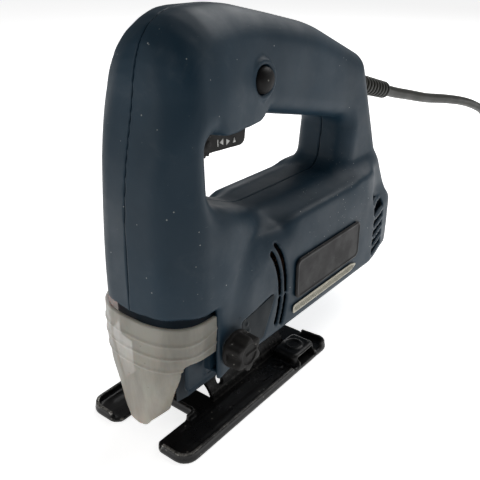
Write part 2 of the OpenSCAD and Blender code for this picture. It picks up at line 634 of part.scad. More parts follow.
// Last straight stretch, from the coil's lowest outer turn to the plug.
module cord_tail() color([0.07, 0.07, 0.06])
    rod_x(cord_d / 2, coil_x + 18, coil_x + 42, coil_y + coil_out - cord_d / 2, cord_d / 2);
module cord_tie() color([0.1, 0.1, 0.1]) translate([coil_x, coil_y, 0]) difference() {
    block([coil_in - 1.2, -4, 0], [coil_out + 1.4, 4, coil_h + 1.1]);
    rotate_extrude() polygon([[coil_in - 0.05, -1], [coil_out + 0.05, -1],
                              [coil_out + 0.05, coil_h + 0.1], [coil_in - 0.05, coil_h + 0.1]]);
}
module plug_body() color(rubber_black) translate([plug_x, plug_y, 0]) {
    rod_x(3.4, 0, 14, 0, cord_d / 2);
    along_x(rounded([[11, 0, 3], [11, 16, 4], [-11, 16, 4], [-11, 0, 3]]), 14, 32);
}
module plug_pins() color([0.75, 0.68, 0.4]) translate([plug_x + 32, plug_y, 8])
    pair_blocks([0, 5.6, -3.2], [17, 7.1, 3.2]);

// ---- nodes --------------------------------------------------------------------------------------

housing_left();
housing_right();
housing_screws();
gear_case();
saddle_foot();
foot_clamp_pad();
foot_clamp_screw();
name_plate();
trim_strip();
selector_panel();
stator_core();
field_coils();
front_bearing();
rear_bearing();
brush_holders();
carbon_brushes();
brush_springs();
switch_body();
suppressor_capacitor();
upper_plunger_bush();
lower_plunger_bush();
gear_axle();
strain_relief();
cord_clamp();
cord_clamp_screws();
cord_tube();
cord_coil();
cord_tail();
cord_tie();
plug_body();
plug_pins();
armature_shaft();
armature_core();
commutator();
cooling_fan();
drive_gear();
crank_pin();
plunger_rod();
plunger_yoke();
blade_clamp();
clamp_screws();
roller_bracket();
arm_pivot_pin();
roller_pin();
guide_roller();
selector_knob();
trigger();
trigger_spring();
speed_dial();
lock_button();
lock_spring();
shoe_plate();
shoe_saddle();
blade_guard();
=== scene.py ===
"""Looks of a corded D-handle jigsaw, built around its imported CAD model.

+X is the nose, +Y the tool's left side and +Z up. The origin is where the blade's axis meets the sole.
Shapes are worked out in millimetres and become metres where a mesh is made.
"""

import json
import math

import bmesh
import bpy
import numpy as np
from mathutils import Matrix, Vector


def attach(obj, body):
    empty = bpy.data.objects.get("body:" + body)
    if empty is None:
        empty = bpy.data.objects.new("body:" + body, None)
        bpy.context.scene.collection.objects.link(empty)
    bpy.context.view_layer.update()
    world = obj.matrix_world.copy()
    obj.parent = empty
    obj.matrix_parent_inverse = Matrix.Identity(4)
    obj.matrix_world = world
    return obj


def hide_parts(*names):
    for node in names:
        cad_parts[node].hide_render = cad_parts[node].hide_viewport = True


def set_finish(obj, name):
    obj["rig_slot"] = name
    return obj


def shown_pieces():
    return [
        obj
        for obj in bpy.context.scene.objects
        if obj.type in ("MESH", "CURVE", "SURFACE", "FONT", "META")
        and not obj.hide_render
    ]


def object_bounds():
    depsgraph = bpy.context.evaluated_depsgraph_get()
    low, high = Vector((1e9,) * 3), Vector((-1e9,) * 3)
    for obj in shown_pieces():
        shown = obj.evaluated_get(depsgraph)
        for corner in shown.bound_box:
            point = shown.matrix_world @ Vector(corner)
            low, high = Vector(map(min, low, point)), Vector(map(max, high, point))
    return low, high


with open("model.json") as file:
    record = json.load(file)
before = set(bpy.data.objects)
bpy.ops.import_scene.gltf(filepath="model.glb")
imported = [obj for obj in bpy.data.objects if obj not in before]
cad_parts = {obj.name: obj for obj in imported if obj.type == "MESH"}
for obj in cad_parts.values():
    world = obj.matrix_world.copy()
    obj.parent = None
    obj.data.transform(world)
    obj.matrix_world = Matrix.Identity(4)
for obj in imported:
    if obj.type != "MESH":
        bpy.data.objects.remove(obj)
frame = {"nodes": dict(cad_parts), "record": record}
cad_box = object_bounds()
MM = 0.001


# ---- camera ---------------------------------------------------------------------------------------

CAMERA_PLACE = (0.1737, 0.1830, 0.2140)
CAMERA_LOOK = (-0.7083, -0.5594, -0.4305)
LENS_MM = 48
SENSOR_MM = 36
NEAREST_SEEN = 0.01


def make_camera():
    """Close three-quarter view from the nose's left side, a little above the tool."""
    data = bpy.data.cameras.new("camera")
    data.lens = LENS_MM
    data.sensor_width = SENSOR_MM
    data.clip_start = NEAREST_SEEN
    camera = bpy.data.objects.new("camera", data)
    camera.location = CAMERA_PLACE
    camera.rotation_euler = Vector(CAMERA_LOOK).to_track_quat("-Z", "Y").to_euler()
    bpy.context.scene.collection.objects.link(camera)
    bpy.context.scene.camera = camera


make_camera()


# ---- cord -----------------------------------------------------------------------------------------

CORD_D = 0.007
CORD_SMOOTHNESS = 5
CORD_EXIT = (-0.206, 0.0, 0.1244)
CORD_ROUTE = [
    CORD_EXIT, (-0.213, 0, 0.1225), (-0.226, 0, 0.119), (-0.240, 0, 0.1156), (-0.254, 0, 0.1121),
    (-0.268, 0, 0.1086), (-0.282, 0, 0.1054), (-0.297, 0, 0.1024), (-0.312, 0, 0.0994), (-0.326, 0, 0.0964),
    (-0.342, 0, 0.0928), (-0.358, 0, 0.0888), (-0.373, 0, 0.0846), (-0.388, 0, 0.0798), (-0.402, 0, 0.0748),
    (-0.416, -0.001, 0.069), (-0.430, -0.0025, 0.0624), (-0.444, -0.005, 0.0554), (-0.458, -0.0085, 0.0484),
    (-0.472, -0.0125, 0.0418), (-0.486, -0.0168, 0.036), (-0.500, -0.021, 0.0314), (-0.515, -0.025, 0.028),
    (-0.530, -0.0278, 0.0259), (-0.545, -0.0291, 0.0249), (-0.560, -0.0295, 0.0247)]
COIL_CENTRE = (-0.562, 0.016)
COIL_OUTER = 0.0455
COIL_TOP = 0.0245
WOUND_TURNS = 2.0
LAYER_TURNS = WOUND_TURNS + 0.125
COIL_LAYERS = 4
TURN_POINTS = 16
PLUG_START = -0.520
TAIL_STRAIGHT = 0.020
TAIL_IN_PLUG = 0.004


def coil_points():
    """The stored turns: each layer winds in or out a diameter per turn, then drops onto the next."""
    points = []
    for k in range(1, round(COIL_LAYERS * LAYER_TURNS * TURN_POINTS) + 1):
        turns = k / TURN_POINTS
        layer = min(int(turns / LAYER_TURNS), COIL_LAYERS - 1)
        within = turns - layer * LAYER_TURNS
        wound = min(within, WOUND_TURNS)
        radius = COIL_OUTER - CORD_D * (wound if layer % 2 == 0 else WOUND_TURNS - wound)
        lowest = layer == COIL_LAYERS - 1
        drop = 0 if lowest else max(within - WOUND_TURNS, 0) / (LAYER_TURNS - WOUND_TURNS)
        angle = math.radians(-90 - 360 * turns)
        points.append((COIL_CENTRE[0] + radius * math.cos(angle), COIL_CENTRE[1] + radius * math.sin(angle),
                       COIL_TOP - CORD_D * (layer + drop)))
    return points


def make_cord():
    """The mains cord and its centreline: out of the strain relief, down to the floor, the coil, the plug."""
    data = bpy.data.curves.new("cord_line", "CURVE")
    data.dimensions = "3D"
    data.bevel_resolution = CORD_SMOOTHNESS
    data.resolution_u = CORD_SMOOTHNESS
    data.use_fill_caps = True
    coil = coil_points()
    _, y, z = coil[-1]
    points = CORD_ROUTE + coil + [(PLUG_START - TAIL_STRAIGHT, y, z), (PLUG_START + TAIL_IN_PLUG, y, z)]
    spline = data.splines.new("BEZIER")
    spline.bezier_points.add(len(points) - 1)
    for point, place in zip(spline.bezier_points, points):
        point.co = place
        point.handle_left_type = "AUTO"
        point.handle_right_type = "AUTO"
    line = bpy.data.objects.new("cord_line", data)
    bpy.context.scene.collection.objects.link(line)
    meshes = []
    for radius in (0, CORD_D / 2):
        data.bevel_depth = radius
        bpy.context.view_layer.update()
        evaluated = line.evaluated_get(bpy.context.evaluated_depsgraph_get())
        meshes.append(bpy.data.meshes.new_from_object(evaluated))
    centreline, sheath = meshes
    path = [tuple(v.co) for v in centreline.vertices]
    sheath.shade_smooth()
    cord = bpy.data.objects.new("mains_cord", sheath)
    bpy.context.scene.collection.objects.link(cord)
    bpy.data.objects.remove(line)
    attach(cord, "housing")
    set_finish(cord, "cord_rubber")
    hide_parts("cord_tube", "cord_coil", "cord_tail")
    return cord, path


mains_cord, cord_path = make_cord()


# ---- mesh helpers ---------------------------------------------------------------------------------


def new_object(name, data, body, slot, replaced=()):
    """Links a piece to the scene and fixes it to its CAD body, finish and replaced CAD nodes."""
    piece = bpy.data.objects.new(name, data)
    bpy.context.scene.collection.objects.link(piece)
    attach(piece, body)
    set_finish(piece, slot)
    if replaced:
        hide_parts(*replaced)
    return piece


def mesh_from(name, points, faces, smooth=True):
    """A mesh from points in millimetres and a list or array of faces."""
    mesh = bpy.data.meshes.new(name)
    if isinstance(faces, np.ndarray):
        faces = faces.tolist()
    mesh.from_pydata((np.asarray(points, float) * MM).tolist(), [], faces)
    mesh.validate()
    if smooth:
        mesh.shade_smooth()
    return mesh


def smooth_by_angle(mesh, degrees):
    """Smooth shading that stops at edges sharper than an angle."""
    mesh.shade_smooth()
    mesh.set_sharp_from_angle(angle=math.radians(degrees))


# ---- solids as distance fields --------------------------------------------------------------------
# A field is a function of x, y and z in millimetres. It is negative inside the solid.

ARC_STEPS = 7
FAR = 1e9
TINY = 1e-9


def unit(v):
    """The vector of length 1 in the same direction."""
    return v / np.linalg.norm(v)


def rounded(corners, steps=ARC_STEPS):
    """Points of a closed outline whose corners (u, v, radius) are turned into arcs."""
    points = []
    for i, (u, v, r) in enumerate(corners):
        b = np.array((u, v), float)
        to_last = unit(np.array(corners[i - 1][:2], float) - b)
        to_next = unit(np.array(corners[(i + 1) % len(corners)][:2], float) - b)
        half = math.acos(np.clip(to_last @ to_next, -1, 1)) / 2
        tangent = r / math.tan(half)
        middle = b + unit(to_last + to_next) * r / math.sin(half)
        start = unit(b + to_last * tangent - middle)
        end = unit(b + to_next * tangent - middle)
        for k in range(steps + 1):
            points.append(middle + r * unit(start * (1 - k / steps) + end * k / steps))
    return np.array(points)


def mirrored(corners):
    """Corners (u, v, radius) with v from 0 up, followed by their mirror image in v."""
    return corners + [(u, -v, r) for u, v, r in reversed(corners) if v > 0]


def outline(points):
    """Signed distance to a closed outline, as a function of two arrays."""
    ends = list(zip(points, np.roll(points, -1, axis=0)))

    def distance(u, v):
        shape = np.broadcast(u, v).shape
        best = np.full(shape, FAR)
        odd = np.zeros(shape, bool)
        for (ax, ay), (bx, by) in ends:
            dx, dy = bx - ax, by - ay
            length_squared = dx * dx + dy * dy
            if length_squared < TINY:
                continue
            t = np.clip(((u - ax) * dx + (v - ay) * dy) / length_squared, 0, 1)
            best = np.minimum(best, (u - ax - t * dx) ** 2 + (v - ay - t * dy) ** 2)
            if abs(dy) > TINY:
                odd ^= ((ay > v) != (by > v)) & (u < ax + (v - ay) * dx / dy)
        return np.where(odd, -1, 1) * np.sqrt(best)

    return distance


def meet(a, b, r):
    """Where two solids overlap, with the edge between them rounded."""
    return np.minimum(-r, np.maximum(a, b)) + np.hypot(np.maximum(a + r, 0), np.maximum(b + r, 0))


def join(a, b, r):
    """Two solids together, with a fillet where they meet."""
    return np.maximum(r, np.minimum(a, b)) - np.hypot(np.maximum(r - a, 0), np.maximum(r - b, 0))


def cut(a, b, r):
    """The first solid without the second."""
    return meet(a, -b, r)


def ease(a, b, v):
    """0 up to a and 1 from b on, smooth between them."""
    t = np.clip((v - a) / (b - a), 0, 1)
    return t * t * (3 - 2 * t)


def block(lo, hi):
    """Field of a box."""
    middle, half = (np.array(lo) + hi) / 2, (np.array(hi) - lo) / 2

    def field(x, y, z):
        d = [np.abs(v - middle[i]) - half[i] for i, v in enumerate((x, y, z))]
        out = np.sqrt(sum(np.maximum(v, 0) ** 2 for v in d))
        return out + np.minimum(np.maximum(np.maximum(d[0], d[1]), d[2]), 0)

    return field


def rod(axis, r, lo, hi, a=0.0, b=0.0):
    """Field of a cylinder along x, y or z, with its centre at a and b on the other two axes."""

    def field(x, y, z):
        along, u, v = {"x": (x, y, z), "y": (y, x, z), "z": (z, x, y)}[axis]
        return np.maximum(np.hypot(u - a, v - b) - r, np.abs(along - (lo + hi) / 2) - (hi - lo) / 2)

    return field


def lines(lo, hi, step, fine):
    """Grid lines from lo to hi, a step apart, or closer inside the ranges (from, to, step) of fine."""
    places = [lo]
    while places[-1] < hi:
        here = places[-1]
        local = [s for a, b, s in fine if a - s <= here < b]
        places.append(here + min(local, default=step))
    return np.array(places)


def surface(field, xs, ys, zs):
    """Points and quads of a field's zero surface, one point in each grid cell that it crosses."""
    values = field(xs[:, None, None], ys[None, :, None], zs[None, None, :])
    values = np.broadcast_to(values, (len(xs), len(ys), len(zs)))
    cells = np.array([len(xs) - 1, len(ys) - 1, len(zs) - 1])
    axes = (xs, ys, zs)
    ids, places, quads = [], [], []
    for axis in range(3):
        near = np.take(values, range(cells[axis]), axis)
        far = np.take(values, range(1, cells[axis] + 1), axis)
        at = np.argwhere((near < 0) != (far < 0))
        a, b = near[tuple(at.T)], far[tuple(at.T)]
        place = np.stack([axes[k][at[:, k]] for k in range(3)], 1)
        place[:, axis] += (axes[axis][at[:, axis] + 1] - place[:, axis]) * a / (a - b)
        u, v = (axis + 1) % 3, (axis + 2) % 3
        ring = []
        for du, dv in ((0, 0), (-1, 0), (-1, -1), (0, -1)):
            cell = at.copy()
            cell[:, u] += du
            cell[:, v] += dv
            ring.append((cell[:, 0] * cells[1] + cell[:, 1]) * cells[2] + cell[:, 2])
            ids.append(ring[-1])
            places.append(place)
        ring = np.stack(ring, 1)
        outward = a < 0
        quads.append(np.where(outward[:, None], ring, ring[:, ::-1]))
    ids, places, quads = np.concatenate(ids), np.concatenate(places), np.concatenate(quads)
    used, index = np.unique(ids, return_inverse=True)
    count = np.bincount(index)
    points = np.stack([np.bincount(index, places[:, k]) / count for k in range(3)], 1)
    return points, np.searchsorted(used, quads)


def solid(name, field, lo, hi, step, body, slot, replaced=(), fine=((), (), ())):
    """A piece from a field, sampled in a box from lo to hi."""
    grid = [lines(lo[k], hi[k], step, fine[k]) for k in range(3)]
    points, quads = surface(field, *grid)
    return new_object(name, mesh_from(name, points, quads), body, slot, replaced)


# ---- housing --------------------------------------------------------------------------------------

WALL = 2.6
GRIP_HALF = 18.0
BODY_HALF = 30.5
BODY_FLOOR = 29.5
NOSE_EDGE = 67.5
MOTOR_Z = 54.0
DRUM_X = -52.0
DRUM_R = 36.3
BUTTON = (-49.2, 158.0)
KNOB = (-14.5, 44.5)
DIAL = (-29.5, 133.0)
RELIEF_END = (-206.0, 124.4)
RELIEF_TILT = math.radians(15.6)
RELIEF_BORE = 6.2
BORE_MIDDLE = 51
BORE_REACH = 10
BOSSES = [(-4, 168), (-101, 150), (-147, 126), (-158, 104), (-58, 84.5), (-128, 84.5), (-174, 40)]
VENT_CENTRE = (-12.5, 55.0)
VENT_RADII = (41.3, 46.2)
VENT_SPANS = ((145, 181), (185.5, 203))
VENT_HALF = 1.25
VENT_FLOOR = 21
REAR_VENTS = (71, 64, 57, 50.5, 44.5, 38.5)
REAR_VENT_X = -161.5
REAR_VENT_REACH = 9
GROOVE_HALF = 0.13
HOUSING_CELL = 1.1
RIB_BOXES = (([-109, -40, 30], [-106.5, 40, 88]), ([-74, -40, 30], [-71.5, 40, 88]),
             ([-149.5, -40, 30], [-144, 40, 88]), ([-7.5, -40, 103.5], [17, 40, 116.5]))
BOSS_R = 4.2
HEAD_R = 3.6
SHANK_R = 1.8
THREAD_R = 1.5
BUTTON_BORE = 6.15
COLLAR_R = 7.7
COLLAR_TUBE = 1.5

# Outlines: plan and column are seen from above (x, y), section from the front (y, z), the rest from the side.
side_line = outline(rounded([
    (20.5, NOSE_EDGE, 0.3), (17.3, 132, 100), (7.8, 189.2, 32), (-40, 189.3, 70), (-100, 176, 120),
    (-151, 155.2, 12), (-166, 118, 60), (-185, 69, 2), (-190.5, 64, 5), (-192.5, 44, 10),
    (-186, BODY_FLOOR, 8), (-6.5, BODY_FLOOR, 1), (-6.5, NOSE_EDGE, 0.3)]))
opening_line = outline(rounded([
    (-53, 95.4, 30), (-8.2, 113.4, 12), (-8.2, 142.3, 5), (-48, 139.6, 4), (-56, 140.9, 4),
    (-132.8, 123.3, 6), (-128.8, 94.4, 10)]))
plan_line = outline(rounded(mirrored([
    (-3, 0, 4), (-8, 27, 6), (-30, BODY_HALF, 14), (-150, BODY_HALF, 14), (-186, 20, 14),
    (-193, 0, 16)])))
column_line = outline(rounded(mirrored([
    (19, 0, 8), (16.5, 17, 14), (4, 29, 14), (-18, 29, 50), (-52, GRIP_HALF, 50), (-205, GRIP_HALF, 1)])))
section_line = outline(rounded([
    (BODY_HALF, BODY_FLOOR, 6), (BODY_HALF, 76, 20), (BODY_HALF - 2, 91.5, 5), (0, 98, 1),
    (2 - BODY_HALF, 91.5, 5), (-BODY_HALF, 76, 20), (-BODY_HALF, BODY_FLOOR, 6)]))
drum_line = outline(rounded([
    (DRUM_X + DRUM_R, MOTOR_Z - DRUM_R, DRUM_R - 0.1), (DRUM_X + DRUM_R, MOTOR_Z + DRUM_R, DRUM_R - 0.1),
    (DRUM_X - 6, MOTOR_Z + DRUM_R, 1), (DRUM_X - 12, 104, 1), (-210, 104, 1), (-210, MOTOR_Z - DRUM_R, 1)],
    2 * ARC_STEPS))
plate_line = outline(rounded([(-130.5, 45, 4), (-65.5, 45, 4), (-65.5, 68, 4), (-130.5, 68, 4)]))
strip_line = outline(rounded([
    (-131, 40.5, 0.8), (-123, 37.5, 1), (-64, 37.5, 1), (-64, 42.5, 1), (-123, 42.5, 1)]))
panel_line = outline(rounded([(-40, 35.5, 2), (-22.5, 35.5, 2), (-22.5, 53, 2), (-50.5, 57, 2)]))


def outer_form(x, y, z):
    """The housing's outer skin as one closed form, without its cut-outs."""
    half = np.abs(y)
    lean = 0.3 + 3.6 * np.clip((z - 66) / 80, 0, 1.15) ** 2
    tail = 9 * ease(60, 76, z) * ease(-138, -168, x)
    body = meet(meet(section_line(half, z), plan_line(x, half + tail), 5), drum_line(x, z), 14)
    slim = (2.0 * ease(74, 150, z) + 9.5 * np.clip((z - 138) / 50, 0, 1) ** 2) * ease(-70, -20, x)
    column = column_line(x + lean, half + slim)
    form = join(body, column, 8)
    nose = ease(-16, -4, x)
    upper = ease(105, 172, z)
    edge = (1 - nose) * (4.5 + 8.5 * ease(66, 100, z)) + nose * (1.0 + 16 * upper)
    form = meet(form, side_line(x, z), edge)
    lip = ease(-62, -50, x) * ease(-12, -18, x) * ease(128, 137, z)
    return meet(form, -opening_line(x, z), 9.5 - 8 * lip + 1.5 * nose)


def arc_slot(x, z, radius, first, last):
    """Distance in the side view to one of the slots that lie round the cooling fan."""
    a = np.radians((first + last) / 2)
    half = math.radians(last - first) / 2
    dx, dz = x - VENT_CENTRE[0], z - VENT_CENTRE[1]
    u, v = dx * math.cos(a) + dz * math.sin(a), np.abs(dz * math.cos(a) - dx * math.sin(a))
    beyond = v * math.cos(half) > u * math.sin(half)
    end = np.hypot(u - radius * math.cos(half), v - radius * math.sin(half))
    return np.where(beyond, end, np.abs(np.hypot(u, v) - radius)) - VENT_HALF


def vents(x, y, z):
    """Both sides' slots: two pairs of arcs round the fan and six short ones at the rear."""
    slots = np.full(np.broadcast(x, z).shape, FAR)
    for radius in VENT_RADII:
        for span in VENT_SPANS:
            slots = np.minimum(slots, arc_slot(x, z, radius, *span))
    for height in REAR_VENTS:
        past_end = np.maximum(np.abs(x - REAR_VENT_X) - REAR_VENT_REACH, 0)
        past_side = np.maximum(np.abs(z - height) - 1, 0)
        slots = np.minimum(slots, np.hypot(past_end, past_side) - 1.1)
    return np.maximum(slots, VENT_FLOOR - np.abs(y))


def relief_bore(x, y, z):
    """The bore for the strain relief, along the cord's exit."""
    dx, dz = x - RELIEF_END[0], z - RELIEF_END[1]
    along = dx * math.cos(RELIEF_TILT) + dz * math.sin(RELIEF_TILT)
    across = dz * math.cos(RELIEF_TILT) - dx * math.sin(RELIEF_TILT)
    return np.maximum(np.hypot(across, y) - RELIEF_BORE, np.abs(along - BORE_MIDDLE) - BORE_REACH)


def housing_form(x, y, z):
    """The housing with both halves in one: a shell with its ribs, bosses, windows and pockets."""
    skin = outer_form(x, y, z)
    shell = meet(skin, -(skin + WALL), 0.4)
    inner = [block(lo, hi) for lo, hi in RIB_BOXES] + [rod("y", BOSS_R, -40, 40, *boss) for boss in BOSSES]
    inner.append(rod("y", 8, 15, 20, *BUTTON))
    ribs = inner[0](x, y, z)
    for field in inner[1:]:
        ribs = np.minimum(ribs, field(x, y, z))
    form = join(shell, np.maximum(ribs, skin + 0.8), 0.5)
    collar = np.hypot(x - BUTTON[0], z - BUTTON[1]) - COLLAR_R
    form = join(form, np.hypot(collar, y - GRIP_HALF - 1.2) - COLLAR_TUBE, 0.8)
    stator_bay = rod("x", 21.05, -115, -65, 0, MOTOR_Z)
    rear_bearing_seat = rod("x", 9.55, -152, -142.5, 0, MOTOR_Z)
    upper_bush_seat = rod("z", 7.05, 100, 120)
    gear_case_gap = block([-29.5, -18.7, 20], [-5, 18.7, 34])
    trigger_window = block([-53.5, -9.5, 130], [-17.5, 9.5, 147])
    button_bore = rod("y", BUTTON_BORE, 4, 40, *BUTTON)
    knob_bore = rod("y", 4.6, 20, 40, *KNOB)
    for field in (stator_bay, rear_bearing_seat, upper_bush_seat, gear_case_gap, trigger_window, button_bore,
                  knob_bore, relief_bore, vents):
        form = cut(form, field(x, y, z), 0.4)
    for boss in BOSSES:
        for field in (rod("y", HEAD_R, -60, -8, *boss), rod("y", SHANK_R, -9, 0, *boss),
                      rod("y", THREAD_R, -0.1, 12, *boss)):
            form = cut(form, field(x, y, z), 0.3)
    mouth = np.maximum(column_line(x + 0.3, np.abs(y)) + WALL, np.maximum(z - 73, -9 - x))
    form = cut(form, mouth, 0.4)
    for line, floor in ((plate_line, 29.9), (strip_line, 29.9), (panel_line, 28.4)):
        form = cut(form, np.maximum(line(x, z) - 0.15, floor - y), 0.5)
    return form


def make_housing():
    """Two shells that meet at the centre plane with a fine groove between them."""
    fine_x = ((-172, -151, 0.8), (-61, -40, 0.7))
    fine_y = ((-1.6, 1.6, 0.35),)
    fine_z = ((35, 84, 0.8),)
    for side, sign, low_y, high_y in (("left", 1, -1.5, 33.5), ("right", -1, -33.5, 1.5)):

        def field(x, y, z):
            return meet(housing_form(x, y, z), GROOVE_HALF - sign * y, 0.35)

        solid("housing_%s_shell" % side, field, (-196, low_y, 26), (23, high_y, 193), HOUSING_CELL,
              "housing", "housing", ["housing_%s" % side], (fine_x, fine_y, fine_z))


# ---- turned and softened pieces -------------------------------------------------------------------

TURNED_SIDES = 48
SHARP = math.radians(30)
FLAT = math.radians(2)


def turned(name, profile, start, direction, body, slot, replaced):
    """A turned piece: profile holds (distance along the axis, radius) in millimetres from start."""
    sides = TURNED_SIDES
    along = Vector(direction).normalized()
    across = along.orthogonal().normalized()
    third = along.cross(across)
    points, faces = [], []
    for s, r in profile:
        for k in range(sides):
            a = 2 * math.pi * k / sides
            points.append(tuple(Vector(start) + along * s + (across * math.cos(a) + third * math.sin(a)) * r))
    for i in range(len(profile) - 1):
        for k in range(sides):
            n = (k + 1) % sides
            faces.append([i * sides + k, i * sides + n, (i + 1) * sides + n, (i + 1) * sides + k])
    last = (len(profile) - 1) * sides
    faces.append(list(range(sides - 1, -1, -1)))
    faces.append(list(range(last, last + sides)))
    mesh = mesh_from(name, points, faces)
    smooth_by_angle(mesh, 50)
    new_object(name, mesh, body, slot, replaced)


def softened(node, width, body, slot):
    """A copy of a CAD node with its sharp edges rounded to a width in millimetres."""
    mesh = frame["nodes"][node].data.copy()
    piece = new_object(node + "_soft", mesh, body, slot, [node])
    grown = bmesh.new()
    grown.from_mesh(mesh)
    bmesh.ops.remove_doubles(grown, verts=grown.verts, dist=1e-6)
    bmesh.ops.dissolve_limit(grown, angle_limit=FLAT, verts=grown.verts, edges=grown.edges)
    sharp = [e for e in grown.edges if len(e.link_faces) == 2 and e.calc_face_angle() > SHARP]
    bmesh.ops.bevel(grown, geom=sharp, offset=width * MM, segments=2, profile=0.6, affect="EDGES",
                    clamp_overlap=True)
    bmesh.ops.dissolve_degenerate(grown, dist=1e-7, edges=grown.edges)
    bmesh.ops.triangulate(grown, faces=[f for f in grown.faces if len(f.verts) > 4])
    grown.to_mesh(mesh)
    grown.free()
    smooth_by_angle(mesh, 40)
    return piece


# ---- blade guard ----------------------------------------------------------------------------------

GUARD_TOP = 64.5
GUARD_T = 1.8
GUARD_MID = -2.0
GUARD_Z = (5, 14, 24, 28, 34, 45.5, 56, GUARD_TOP)
GUARD_FRONT = (19.3, 19.5, 19.7, 20.0, 20.3, 20.2, 19.6, 19.2)
GUARD_HALF = (12.6, 16, 19.2, 20.6, 22.8, 27.5, 28.3, 28.3)
GUARD_RIDGES = ((56.0, 2.2), (49.5, 1.2), (42.5, 0.0))
RIDGE_HEIGHT = 0.6
RIDGE_HALF = 0.55
guard_side = outline(rounded([(-6.2, 45.3, 1), (11, 45.3, 2.5), (12, 22, 6), (12, -5, 0.1), (30, -5, 0.1),
                              (30, GUARD_TOP, 0.1), (-6.2, GUARD_TOP, 1)]))
guard_front = outline(rounded(mirrored([
    (6.5, 0, 4), (7.6, 5, 3), (10.6, 7.2, 3), (43.4, 40, 1), (80, 40, 1)])))


def guard_form(x, y, z):
    """A thin sheet bent round the nose, with raised ridge lines, trimmed to a band and a tongue."""
    front, half = np.interp(z, GUARD_Z, GUARD_FRONT), np.interp(z, GUARD_Z, GUARD_HALF)
    power = 2.5 + 0.5 * ease(46, 34, z)
    depth = front - GUARD_MID
    u, v = np.maximum(x - GUARD_MID, 1e-3) / depth, np.maximum(np.abs(y), 1e-3) / half
    reach = (u ** power + v ** power) ** (1 / power)
    slope = reach ** (1 - power) * np.hypot(u ** (power - 1) / depth, v ** (power - 1) / half)
    away = (reach - 1) / slope + 0.4 * ease(43, 41.5, z)
    for height, rise in GUARD_RIDGES:
        level = z - height - rise * ease(10, -6, x)
        away = away - RIDGE_HEIGHT * np.exp(-(level / RIDGE_HALF) ** 2)
    sheet = meet(away, -(away + GUARD_T), 0.35)
    return meet(meet(sheet, guard_side(x, z), 0.5), guard_front(z, y), 0.5)


def make_guard():
    """The clear guard round the nose."""
    solid("blade_guard_clear", guard_form, (-7, -29.6, 5), (21.5, 29.6, 66), 0.62, "guard", "guard_clear",
          ["blade_guard"])


# ---- nose of the gear case ------------------------------------------------------------------------

NOSE_HALF = 18.3
NOSE_RIBS = (-8.6, -15.4, -20.5, -25.5)
nose_line = outline(rounded([(-29, 12, 1), (-29, 60, 1), (4.2, 60, 1), (4.2, 25, 6), (-2, 12, 6)]))


def nose_form(x, y, z):
    """Cheeks of the gear case under the housing, and the skirt that stands inside the guard's band."""
    half = np.abs(y)
    cheek = meet(meet(nose_line(x, z), half - NOSE_HALF, 1.5), half + 3.8 - z, 2.5)
    channel = np.maximum(np.abs(x + 12) - 2.3, np.maximum(NOSE_HALF - 2.2 - half, 27 - z))
    cheek = cut(cheek, channel, 0.7)
    for place in NOSE_RIBS:
        rib = meet(meet(np.abs(x - place) - 0.8, half - NOSE_HALF - 0.9, 0.4), 27.5 - z, 0.4)
        cheek = join(cheek, np.maximum(rib, NOSE_HALF - 2 - half), 0.5)
    cheek = cut(cheek, half - 9, 0.6)
    behind_foot = np.maximum(-25.7 - x, half - 16.3)
    cheek = cut(cheek, behind_foot, 0.4)
    ring = meet(np.abs(column_line(x + 0.3, half) + 4.6) - 0.9, np.abs(z - 58.5) - 11.5, 0.3)
    return join(cheek, np.maximum(ring, -5.9 - x), 0.4)


def make_nose():
    """The gear case's outer nose, drawn round the CAD's plain gear case."""
    solid("gear_case_nose", nose_form, (-30, -26, 11), (18, 26, 71), 0.85, "housing", "gear_case_blue")


# ---- shoe -----------------------------------------------------------------------------------------

SHOE_BACK = -99.5
SHOE_FRONT = 21.5
SHOE_HALF = 32.5
FORK_HALF = 12.2
PLATE_T = 2.0
FENCE_X = -77.5
RIM_TOP = 5
SHOE_BEADS = ((17.8, -58, 8), (26.2, -60, 12))
SHOE_DIMPLES = (-91.5, -64)
shoe_line = outline(rounded([
    (SHOE_BACK, -9, 0.1), (SHOE_BACK, 12, 3), (SHOE_BACK + 1.5, 16, 3), (SHOE_BACK, SHOE_HALF, 6),
    (SHOE_FRONT, SHOE_HALF, 7), (SHOE_FRONT, FORK_HALF + 3, 2), (SHOE_FRONT - 3, FORK_HALF, 2),
    (-5, FORK_HALF, 1.5), (-5, -9, 0.1)]))


